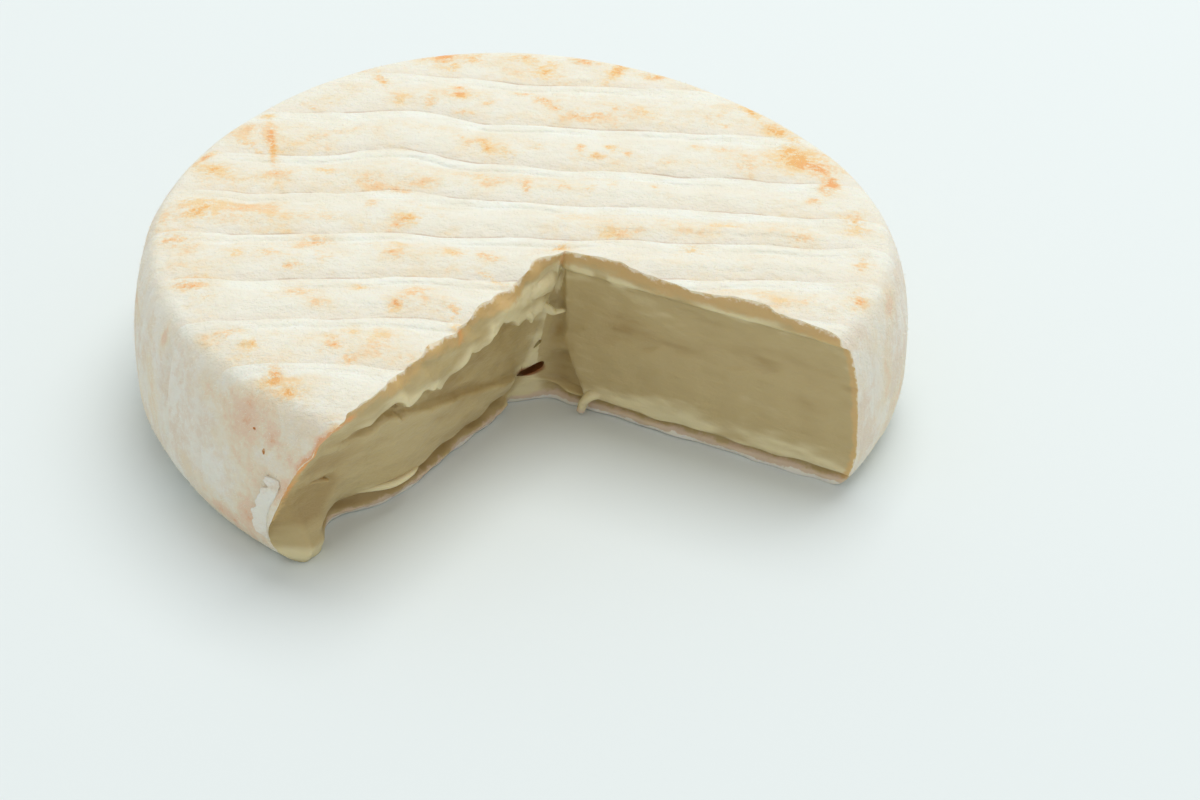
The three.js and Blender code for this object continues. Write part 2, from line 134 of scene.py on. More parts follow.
def channel_drop(x, y):
    """How far the top lies below its crown: in each channel a gentle front slope, a nearly flat floor, a
    soft fold, a sharp crease that comes and goes and a steep back wall, and between two channels a low
    arched ridge, which counts as a negative drop."""
    lines = crease_lines(x)
    offset = y - lines
    floor = 0.8 * smooth(CHANNEL_FRONT, FLOOR_FRONT, offset)
    floor = floor + 0.2 * np.clip((offset - FLOOR_FRONT) / (CREASE - FLOOR_FRONT), 0, 1)
    share = floor * (1 - smooth(CREASE, CHANNEL_BACK, offset))
    column = (slice(None),) + (None,) * (offset.ndim - 1)
    shown = 0.5 + 0.5 * smooth(-0.5, 0.4, wander(x / 7, CREASE_Y[column], 8))
    notch = NOTCH_DEPTH * bell((offset - 0.1) / 0.2) * shown
    fold_offset = offset + FOLD_AHEAD + 0.6 * wander(x / 9, CREASE_Y[column], 3)
    fold = FOLD_DEPTH * bell(fold_offset / 0.4) - FOLD_ROLL * bell((fold_offset - 1.2) / 0.9)
    fold = fold * smooth(-0.5, 0.2, wander(x / 16, CREASE_Y[column], 4))
    drop = (PRESSED_SHARE * share * CHANNEL_DEPTH[column] + notch + fold).sum(axis=0)
    back, front = lines[:-1] + CHANNEL_BACK, lines[1:] + CHANNEL_FRONT
    arch = np.sin(np.pi * np.clip((y - back) / (front - back), 0, 1)).sum(axis=0)
    return drop - CREST_HEIGHT * arch


def top_height(x, y):
    """The height of the top: the crown with its low lumps and its rim, rounded in front and crisp at the
    back, sagging along the unheld left cut, less the channels, which fade towards the rim, plus the mould's
    own unevenness."""
    radius, angle = np.hypot(x, y), np.arctan2(y, x)
    inside = top_radius(angle) - radius
    crown = WHEEL_HEIGHT - RIM_FALL * (radius / WHEEL_RADIUS) ** 4
    rounding = FRONT_ROUNDING + (BACK_ROUNDING - FRONT_ROUNDING) * smooth(-1, 0.6, np.sin(angle))
    crown = crown - rounding * np.clip(1 - inside / ROUNDED_WIDTH, 0, 1) ** 2
    crown = crown + LUMP_HEIGHT * np.sin(x / 19 + 0.8) * np.cos(y / 23)
    near_cut = np.where(y < APEX[1], bell(ahead_of_left_wall(x, y) / SAG_WIDTH), 0)
    near_cut = near_cut * smooth(0, 12, APEX[1] - y)
    fade = DEPTH_AT_RIM + (1 - DEPTH_AT_RIM) * smooth(1, FADE_WIDTH, inside)
    relief = MOULD_RELIEF[0] * wander(x / 8, y / 5, 1) + MOULD_RELIEF[1] * wander(x / 3, y / 1.8, 2)
    return crown - SAG_DEPTH * near_cut - fade * channel_drop(x, y) + relief * smooth(0, 2.5, inside)


def line_rows():
    """The rows of the top as five arrays: each row lies a share of the way from one crease line plus an
    offset to another. They are close together at the creases and wider apart on the ridges."""
    offsets = np.array((
        CHANNEL_FRONT, -5, -4.4, -3.9, -3.5, -3.15, -2.85, -2.6, -2.35, -2.05, -1.7, -1.35, -1, -0.65,
        -0.35, -0.1, 0, 0.1, 0.2, 0.32, 0.5, 0.8, 1.2, 1.7, CHANNEL_BACK,
    ))
    shares = np.arange(1, 10) / 10
    rows = []
    for channel in range(len(CREASE_Y)):
        if channel:
            rows += [(channel - 1, CHANNEL_BACK, channel, CHANNEL_FRONT, share) for share in shares]
        rows += [(channel, offset, channel, offset, 0) for offset in offsets]
    return np.array(rows).T


def top_rows(columns):
    """The X and Y of the rows that follow the channels, each from the left rim to the right rim. A row's ends
    are found by stepping along it towards the rim."""
    first, first_offset, second, second_offset, share = line_rows()
    first, second = first.astype(int), second.astype(int)
    order = np.arange(len(first))

    def line(x):
        lines = crease_lines(x)
        wide = (slice(None),) + (None,) * (x.ndim - 1)
        start = lines[first, order] + first_offset[wide]
        return start + share[wide] * (lines[second, order] + second_offset[wide] - start)

    ends = []
    for side in (-1, 1):
        x = np.full(len(first), side * WHEEL_RADIUS * 0.7)
        for _ in range(40):
            y = line(x)
            x = side * np.sqrt(np.maximum(1, top_radius(np.arctan2(y, x)) ** 2 - y * y))
        ends.append(x)
    x = ends[0][:, None] + (ends[1] - ends[0])[:, None] * np.linspace(0, 1, columns)
    return x, line(x)


def cap_rows(chord, ends, side, count, columns):
    """The X and Y of the rows of a cap, which bow from a straight chord to the round rim. Side is 1 at the
    back and -1 in front."""
    share, bow = np.linspace(0, 1, columns), np.linspace(0, 1, count)[:, None]
    start = math.asin(abs(chord) / top_radius(side * math.pi / 2))
    end = start + (math.radians(ends) - start) * bow

    def rim(angle):
        return top_radius(angle) * np.cos(angle), top_radius(angle) * np.sin(angle)

    left, right = rim(side * (np.pi - end)), rim(side * end)
    arc = rim(side * (np.pi - end + (2 * end - np.pi) * share))
    return tuple(a + (b - a) * share + (c - a - (b - a) * share) * bow for a, b, c in zip(left, right, arc))


def between(rows_a, rows_b, count):
    """Rows evenly spaced between two rows, without the two themselves."""
    share = (np.arange(1, count + 1) / (count + 1))[:, None]
    return tuple(a + (b - a) * share for a, b in zip(rows_a, rows_b))


def skin(rows):
    """Triangles between neighbouring rows of point numbers, two for each cell."""
    a, b, c, d = rows[:-1, :-1], rows[:-1, 1:], rows[1:, 1:], rows[1:, :-1]
    corners = [np.stack((a, b, c), -1), np.stack((a, c, d), -1)]
    return np.concatenate([triangles.reshape(-1, 3) for triangles in corners])


def ring_skin(rings):
    """Triangles between closed rings of point numbers."""
    return skin(np.concatenate((rings, rings[:, :1]), axis=1))


def fan(centre, ring, turned=False):
    """Triangles from a closed ring of point numbers to one point, facing up, or down where turned."""
    following = np.roll(ring, -1)
    middle = np.full(len(ring), centre)
    return np.stack((middle, following, ring) if turned else (middle, ring, following), -1)


def side_profile(angle, z, top):
    """The side's radius at a height: quarter ellipses at the foot and the shoulder draw it in."""
    up = np.clip((z - top + SHOULDER_DROP) / SHOULDER_DROP, 0, 1)
    down = np.clip((FOOT_RISE - z) / FOOT_RISE, 0, 1)
    drawn_in = SHOULDER_INSET * (1 - np.sqrt(1 - up * up)) + FOOT_INSET * (1 - np.sqrt(1 - down * down))
    return outline_radius(angle) - drawn_in


def side_relief(angle, z, top):
    """How far the side stands out from its plain profile: broad lumps, small ones drawn out upwards, and a
    soft upright fold at the left front. It dies out at the foot and at the rim."""
    x, y = WHEEL_RADIUS * np.cos(angle), WHEEL_RADIUS * np.sin(angle)
    lumps = BROAD_LUMP * wander(x / 13 + z / 31, y / 13 - z / 23, 11)
    lumps = lumps + SMALL_LUMP * wander(x / 4 + z / 19, y / 4 - z / 14, 12)
    fold = -GROOVE_DEPTH * bell((angle - GROOVE_ANGLE) / 0.016)
    fold = fold + SWELL_HEIGHT * bell((angle - SWELL_ANGLE) / 0.03)
    fold = fold * smooth(3, 9, z) * (1 - smooth(24, 31, z))
    return (lumps + fold) * smooth(0, 4, z) * smooth(0, 5, top - z)


FRONT_CAP, BACK_CAP = (-54, 76, -1, 16), (60.6, 80, 1, 12)


def wheel_shape(columns=220):
    """The whole wheel before the cut: the top's rows, rings down the side and a nearly flat underside."""
    front = [rows[::-1] for rows in cap_rows(*FRONT_CAP, columns)]
    back = cap_rows(*BACK_CAP, columns)
    main = top_rows(columns)
    front_gap = between([row[-1] for row in front], [row[0] for row in main], 2)
    back_gap = between([row[-1] for row in main], [row[0] for row in back], 5)
    x, y = (np.concatenate(parts) for parts in zip(front, front_gap, main, back_gap, back))
    top = np.stack((x, y, top_height(x, y)), -1)
    number = np.arange(x.size).reshape(x.shape)
    rim = np.concatenate((number[0], number[1:-1, -1], number[-1, ::-1], number[1:-1, 0][::-1]))

    rim_x, rim_y, rim_z = top.reshape(-1, 3)[rim].T
    angle = np.arctan2(rim_y, rim_x)
    turn = np.linspace(0, np.pi / 2, 12)[:, None]
    foot_z = FOOT_RISE * (1 - np.sin(turn[::-1])) + 0 * angle
    shoulder_z = rim_z - SHOULDER_DROP * (1 - np.sin(turn[:-1]))
    z = np.concatenate((foot_z, (foot_z[-1:] + shoulder_z[:1]) / 2, shoulder_z))
    radius = side_profile(angle, z, rim_z) + side_relief(angle, z, rim_z)
    side = np.stack((radius * np.cos(angle), radius * np.sin(angle), z), -1)

    share = np.array((0.15, 0.5, 0.8, 0.96))[:, None]
    under = np.stack([share * side[0, :, axis] for axis in (0, 1)] + [0 * share * angle], -1)
    under[..., 2] = 0.12 * (1 + wander(under[..., 0] / 5, under[..., 1] / 4, 13)) * (share < 0.9)

    rings = np.concatenate((under, side))
    ring_number = x.size + np.arange(rings.shape[0] * rings.shape[1]).reshape(rings.shape[:2])
    points = np.concatenate((top.reshape(-1, 3), rings.reshape(-1, 3), ((0, 0, 0.1),)))
    triangles = [skin(number), ring_skin(np.concatenate((ring_number, rim[None]))),
                 fan(len(points) - 1, ring_number[0], turned=True)]
    return points, np.concatenate(triangles)


def make_piece(name, points, triangles, finishes):
    """A mesh object from points in millimetres and triangles of point numbers, with its finishes in order."""
    mesh = bpy.data.meshes.new(name)
    mesh.from_pydata(points * MM, [], triangles)
    for finish in finishes:
        mesh.materials.append(finish)
    piece = bpy.data.objects.new(name, mesh)
    bpy.context.collection.objects.link(piece)
    return piece


rind_finish = bpy.data.materials.new("washed_rind")
paste_finish = bpy.data.materials.new("torn_paste")
cheese = make_piece("cheese_cut_wheel", *wheel_shape(), (rind_finish, paste_finish))

# The cut: a wedge was lifted out before the paste had set firm. Under the top rind the paste tore and left a
# ledge with hanging bits, the knife smeared it into a belly below, and by the rim it ran out past the rind.
# The cut is made by taking the removed wedge's shape away from the wheel.
RIGHT_WALL_ANGLE = math.radians(-26)
LEFT_FOOT, RIGHT_FOOT = 8.7, 2.4
ROW_DIVISIONS, FACET_COLUMNS = (1, 4, 5, 6, 9, 5, 8, 8, 6, 6, 4, 7, 1), 24
WALL_LENGTH, WALL_STEP, BEYOND_RIM = 70, 0.5, (76, 125)
WEDGE_MIDDLE_ANGLE, WEDGE_MIDDLE = math.radians(-74.5), 60
BELOW, ABOVE, WALL_GAP = -1.5, 42, 0.3
CORNER_CUT, CORNER_HEIGHT, FACET_BOW = 3.2, 23, 1.9
RECESS_DEPTH, RECESS_WIDTH = 1.9, 3.2
HOLLOW_PLACE, HOLLOW_SIZE, HOLLOW_TILT = (2.0, -5.2, 7.2), (3.3, 3.0, 1.4), math.radians(-18)
PIT_PLACE, PIT_SIZE, PIT_TILT = (3.9, -6.9, 13.3), (1.1, 1.3, 0.5), math.radians(-50)
PINHOLES, PINHOLE_WIDTH = (("high_pinhole", -127.5, 27.0, 0.4), ("low_pinhole", -125.4, 23.8, 0.8)), 0.35
RIM_HEIGHT = 33.4
LEFT_FACING = np.array((-math.sin(LEFT_WALL_ANGLE), math.cos(LEFT_WALL_ANGLE)))
RIGHT_FACING = np.array((math.sin(RIGHT_WALL_ANGLE), -math.cos(RIGHT_WALL_ANGLE)))


def uneven(along, phase):
    """A low wave along a length that doesn't seem to repeat: a slow sine and a quick one."""
    return 0.6 * np.sin(0.31 * along + 1.7 * phase) + 0.4 * np.sin(0.77 * along + 2.9 * phase)


def wall_point(wall_angle, facing, t, off, z):
    """A point t along a wall from the apex and off in front of its top edge's line."""
    t, off, z = np.broadcast_arrays(t, off, z)
    x = APEX[0] + math.cos(wall_angle) * t + facing[0] * off
    y = APEX[1] + math.sin(wall_angle) * t + facing[1] * off
    return np.stack((x, y, z), -1)


def left_foot(t):
    """How far the left wall's foot lies behind its top edge, notched and then running out at the rim."""
    notches = 5.6 * bell((t - 52) / 7) + bell((t - 2) / 4)
    return LEFT_FOOT + notches + smooth(58, 62.5, t) + 6.3 * smooth(62.5, 67, t)


def left_lean(t, z):
    """How far the left wall's plain surface lies behind its top edge: straight at first, rounded where the
    paste ran out, and less rounded again at the rim, where the rind held it."""
    height = np.clip(z / WHEEL_HEIGHT, 0, 1)
    straight, rounded = 1 - height, 1 - height ** (3 - 1.5 * smooth(62, 66, t))
    return left_foot(t) * (straight + (rounded - straight) * smooth(50, 67, t))


def right_lean(z):
    """The right wall leans back evenly from its top edge to its foot."""
    return RIGHT_FOOT * (1 - np.clip(z / WHEEL_HEIGHT, 0, 1))


def ledge_height(t):
    """The lower edge of the torn ledge: a slow wave, lower at the apex, ragged, with three hanging bits."""
    plain = 26.2 + 1.5 * np.sin(2 * np.pi * (t - 12.5) / 30) - 0.6 * (1 - smooth(5, 12, t))
    plain = plain + 0.5 * uneven(t, 1)
    ragged = 0.9 * wander(t / 3.4, 0, 21) + 0.5 * wander(t / 1.4, 0, 22)
    hanging = 1.9 * bell((t - 7.1) / 0.9) + 1.2 * bell((t - 2.5) / 1.6) + 0.9 * bell((t - 22) / 1.2)
    return plain + ragged * smooth(1, 4, t) - hanging


def smear_height(t):
    """The upper edge of the smeared belly, which climbs from the apex outwards."""
    return np.minimum(9.3 + 0.384 * (t - 7), ledge_height(t) - 3)


def left_rows(t):
    """The left wall's key rows from below the foot to above the top: each row's height, and how far it
    stands proud of the plain leaning surface."""
    belly = smooth(1, 8, t) * (1 - smooth(50, 60, t))
    torn = (0.25 + 0.75 * smooth(0, 5, t)) * (1 - smooth(53, 60, t))
    smear, ledge = smear_height(t), ledge_height(t)
    edge_back = smooth(0, 8, t) * (2.1 - 0.5 * smooth(28, 34, t) - 1.6 * smooth(47, 57, t))
    edge_ragged = 0.5 * wander(t / 2.2, 0, 27) + 0.14 * wander(t / 1.1, 0, 28)
    flat = 0 * t
    rows = (
        (flat + BELOW, flat),
        (flat, 0.4 * uneven(t, 2)),
        (flat + 1.7, 0.4 + 0.4 * uneven(t, 3)),
        (3.7 + 0.3 * uneven(t, 4), -1.7 * belly),
        (flat + 6.2, (0.8 + 0.3 * uneven(t, 5)) * belly),
        (smear - 0.8, (1.2 + 0.3 * uneven(t, 6)) * belly),
        (smear + 0.8, -0.7 * belly),
        ((smear + ledge) / 2, -1.0 * smooth(0, 6, t) * torn),
        (ledge - 0.8, (-1.4 + 0.3 * uneven(t, 7)) * torn),
        (ledge + 0.2, (1.3 + 0.6 * uneven(t, 8)) * torn),
        ((ledge + 33) / 2, (0.7 + 0.2 * uneven(t, 9)) * torn),
        (flat + 33, 0.2 * uneven(t, 10) + 0.3 * wander(t / 1.5, 0, 27) - 0.5 * edge_back),
        (flat + 36, 0.4 * uneven(t, 11) + edge_ragged - 1.2 * edge_back),
        (flat + ABOVE, flat),
    )
    return tuple(np.stack(part) for part in zip(*rows))


def right_rows(t):
    """The right wall's key rows: smoother, with a thin lip under the rind and a step above the bottom
    rind."""
    edge_ragged = 0.4 * wander(t / 2.2, 0, 29) + 0.14 * wander(t / 1.1, 0, 30)
    flat = 0 * t
    rows = (
        (flat + BELOW, flat),
        (flat, 0.3 * uneven(t, 12)),
        (flat + 1.4, 0.3 * uneven(t, 13)),
        (flat + 2.5, flat - 1.1),
        (3.9 + 0.5 * uneven(t, 14), flat + 0.7),
        (flat + 10, 0.4 + 0.3 * uneven(t, 15)),
        (16 + 0.1 * t + uneven(t, 19), 0.2 + 0.2 * uneven(t, 20)),
        (18 + 0.1 * t + uneven(t, 19), -0.2 + 0.1 * uneven(t, 21)),
        (flat + 25, -0.4 + 0.3 * uneven(t, 16)),
        (flat + 30.4, flat - 0.4),
        (flat + 31.6, 0.5 + 0.2 * uneven(t, 17)),
        (flat + 33, flat + 0.1),
        (flat + 36, 0.3 * uneven(t, 18) + edge_ragged),
        (flat + ABOVE, flat),
    )
    return tuple(np.stack(part) for part in zip(*rows))


def follow_rows(keys, places):
    """Values between key rows: at each place, counted in key rows, a cubic through the two nearest keys whose
    slopes are the harmonic means of the steps on both sides, so that it never overshoots."""
    steps = np.diff(keys, axis=0)
    before, after = steps[:-1], steps[1:]
    same_way = before * after > 0
    mean = np.divide(2 * before * after, before + after, out=np.zeros_like(before), where=same_way)
    slopes = np.concatenate((steps[:1], mean, steps[-1:]))
    low = np.minimum(places.astype(int), len(keys) - 2)
    s = (places - low)[:, None]
    start, end = keys[low], keys[low + 1]
    return (start * (1 + 2 * s) * (1 - s) ** 2 + end * s * s * (3 - 2 * s)
            + slopes[low] * s * (1 - s) ** 2 - slopes[low + 1] * s * s * (1 - s))


def closed_rings(rings, start, end):
    """A closed shape: rings of points one after the other, each end closed to one point."""
    number = np.arange(rings.shape[0] * rings.shape[1]).reshape(rings.shape[:2])
    points = np.concatenate((rings.reshape(-1, 3), (start, end)))
    ends = fan(number.size, number[0], turned=True), fan(number.size + 1, number[-1])
    return points, np.concatenate((ring_skin(number), *ends))


def wedge_shape():
    """The removed wedge: at each height both walls and the narrow facet between them, closed far outside."""
    places = [k + np.arange(count) / count for k, count in enumerate(ROW_DIVISIONS)]
    places = np.concatenate(places + [[len(ROW_DIVISIONS)]])
    t = np.concatenate((np.arange(0, WALL_LENGTH + 0.1, WALL_STEP), BEYOND_RIM))
    settled = smooth(0, 2, t)

    height, proud = (follow_rows(keys, places) for keys in left_rows(t))
    flow = height - 0.3 * t
    grain = 0.4 * wander(t / 12, flow / 2.2, 23) + 0.16 * wander(t / 3, flow / 1.1, 24)
    run_out = smooth(55, 59, t) * (1 - smooth(62.5, 65.5, t))
    grain = grain + run_out * (0.9 * bell((height - 3.5) / 3.5) - 2.0 * bell((height - 12.5) / 4.5))
    corner = CORNER_CUT * (1 - smooth(0, CORNER_HEIGHT, height)) * np.maximum(0, 1 - t / 6)
    left_off = proud + grain * settled - left_lean(t, height)
    left = wall_point(LEFT_WALL_ANGLE, LEFT_FACING, t + WALL_GAP + corner, left_off, height)

    height, proud = (follow_rows(keys, places) for keys in right_rows(t))
    grain = 0.16 * wander(t / 8, height / 2.2, 25) + 0.07 * wander(t / 2, height / 1.3, 26)
    recess = smooth(-0.3, 0.5, RECESS_WIDTH * (13.5 - height) / 9 - t)
    recess = recess * smooth(3.4, 4.4, height) * (1 - smooth(12, 13.5, height))
    right_off = proud + grain * settled - right_lean(height) - RECESS_DEPTH * recess
    right = wall_point(RIGHT_WALL_ANGLE, RIGHT_FACING, t + WALL_GAP, right_off, height)

    share = (np.arange(1, FACET_COLUMNS + 1) / (FACET_COLUMNS + 1))[:, None]
    start, end = left[:, :1], right[:, :1]
    facet = start + (end - start) * share
    room = np.minimum(1, np.linalg.norm(end - start, axis=-1) / 6)
    facet[..., 1] += room * FACET_BOW * np.sin(np.pi * share[:, 0] ** 1.6)

    rings = np.concatenate((right[:, ::-1], facet[:, ::-1], left), axis=1)
    middle = APEX + WEDGE_MIDDLE * np.array((math.cos(WEDGE_MIDDLE_ANGLE), math.sin(WEDGE_MIDDLE_ANGLE)))
    return closed_rings(rings, (*middle, BELOW), (*middle, ABOVE))


def hollow_shape(place, size, tilt):
    """A hollow that the tearing left: a flattened ball, tapered towards its left end, tilted about Y."""
    turn = np.linspace(0, 2 * np.pi, 33)[:-1]
    level = np.linspace(-1, 1, 18)[1:-1, None]
    across = np.sqrt(1 - level ** 2)
    x, y = across * np.cos(turn), across * np.sin(turn)
    taper = 0.45 + 0.55 * (x + 1) / 2
    ball, triangles = closed_rings(np.stack((x, y, level * taper + 0 * x), -1), (0, 0, -0.75), (0, 0, 0.75))
    x, y, z = (ball * size).T
    cos, sin = math.cos(tilt), math.sin(tilt)
    return np.stack((x * cos + z * sin, y, z * cos - x * sin), -1) + place, triangles


def shape_with(piece, name, shape, operation):
    """Takes another closed shape away from a piece, or joins it on, for good. Its faces are of paste."""
    tool = make_piece(name, *shape, (rind_finish, paste_finish))
    tool.data.polygons.foreach_set("material_index", np.ones(len(tool.data.polygons), np.int32))
    cut = piece.modifiers.new(name, "BOOLEAN")
    cut.operation, cut.solver, cut.object = operation, "MANIFOLD", tool
    made = bpy.data.meshes.new_from_object(piece.evaluated_get(bpy.context.evaluated_depsgraph_get()))
    piece.modifiers.remove(cut)
    piece.data = made
    bpy.data.objects.remove(tool)


shape_with(cheese, "removed_wedge", wedge_shape(), "DIFFERENCE")
shape_with(cheese, "hollow", hollow_shape(HOLLOW_PLACE, HOLLOW_SIZE, HOLLOW_TILT), "DIFFERENCE")
shape_with(cheese, "pit", hollow_shape(PIT_PLACE, PIT_SIZE, PIT_TILT), "DIFFERENCE")
for name, degrees, level, tall in PINHOLES:
    turn = math.radians(degrees)
    radius = float(side_profile(turn, level, RIM_HEIGHT) + side_relief(turn, level, RIM_HEIGHT))
    place = (radius * math.cos(turn), radius * math.sin(turn), level)
    size = (PINHOLE_WIDTH, PINHOLE_WIDTH, tall)
    shape_with(cheese, name, hollow_shape(place, size, 0), "DIFFERENCE")


def tongue_shape(path, root, tip, seed):
    """A torn wisp of paste: rings round a smooth path, thick at its root, blunt at its tip and a little
    lumpy. It narrows with the share of the way to the power of 0.8, and is flattened to three quarters."""
    path = np.array(path)
    stations = np.linspace(0, len(path) - 1, 22)
    line = follow_rows(path, stations)
    tangent = np.gradient(line, axis=0)
    tangent /= np.linalg.norm(tangent, axis=1, keepdims=True)
    across = np.cross(tangent, (0.3, 0.2, 0.93))
    across /= np.linalg.norm(across, axis=1, keepdims=True)
    over = np.cross(tangent, across)
    share = np.linspace(0, 1, 22)[:, None]
    turn = np.linspace(0, 2 * np.pi, 21)[:-1]
    radius = root + (tip - root) * share ** 0.8
    radius = radius * (1 + 0.14 * wander(share * 5 + 0 * turn, 2 * np.cos(turn) + 7, seed))
    rings = line[:, None] + radius[..., None] * (
        np.cos(turn)[:, None] * across[:, None] + 0.75 * np.sin(turn)[:, None] * over[:, None])
    return closed_rings(rings, line[0], line[-1] + 0.6 * tip * tangent[-1])


def on_left(t, off, z):
    """A point in front of the left wall's plain leaning surface."""
    return wall_point(LEFT_WALL_ANGLE, LEFT_FACING, t, off - left_lean(t, z), z)


def on_right(t, off, z):
    """A point in front of the right wall's plain leaning surface."""
    return wall_point(RIGHT_WALL_ANGLE, RIGHT_FACING, t, off - right_lean(z), z)


SHARPEST_BEND = math.radians(55)
WISPS = (
    # name, wall, root radius, tip radius, seed, and the path: along the wall, in front of it, and height
    ("lip_at_apex", on_left, 2.0, 0.5, 41,
     ((8, -2.2, 26.2), (5, -0.4, 25.2), (2.6, 1.2, 23.6), (0.8, 2.4, 22.0), (-0.8, 3.4, 21.9))),
    ("ledge_at_apex", on_left, 4.6, 3.6, 48,
     ((9, -4.4, 29.4), (6, -3.1, 29.4), (3, -2.6, 29.2), (0.2, -2.4, 29))),
    ("tooth_at_apex", on_left, 1.5, 0.4, 45,
     ((9.6, -1.6, 27), (8.3, 0.2, 25.4), (7.4, 0.9, 24.0), (7.0, 1.0, 22.8))),
    ("scrap_at_rim", on_left, 1.5, 0.5, 47,
     ((66, -1.9, 17.4), (63.5, -1.5, 17.2), (61, -1.1, 16.6), (58.6, -0.3, 15.7))),
    ("roll_at_foot", on_left, 1.0, 0.9, 42,
     ((34, -1.2, 6.4), (38, 0.9, 6.6), (43, 1.3, 6.2), (48, -0.2, 6.4), (51, -1.6, 7))),
    ("drip", on_right, 1.7, 0.75, 43, ((8.4, -1.2, 5.0), (5.6, 0.5, 4.4), (4.3, 1.6, 2.8), (3.8, 2.0, 0.8))),
    ("run_out_lip", on_left, 1.4, 1.4, 44,
     ((55.5, -2.4, 2.2), (59, -1.8, 2.0), (62, -0.8, 2.0), (64.5, -1.5, 2.2))),
)
for name, on_wall, root, tip, seed, path in WISPS:
    shape_with(cheese, name, tongue_shape([on_wall(*place) for place in path], root, tip, seed), "UNION")
cheese.data.shade_smooth()
cheese.data.set_sharp_from_angle(angle=SHARPEST_BEND)

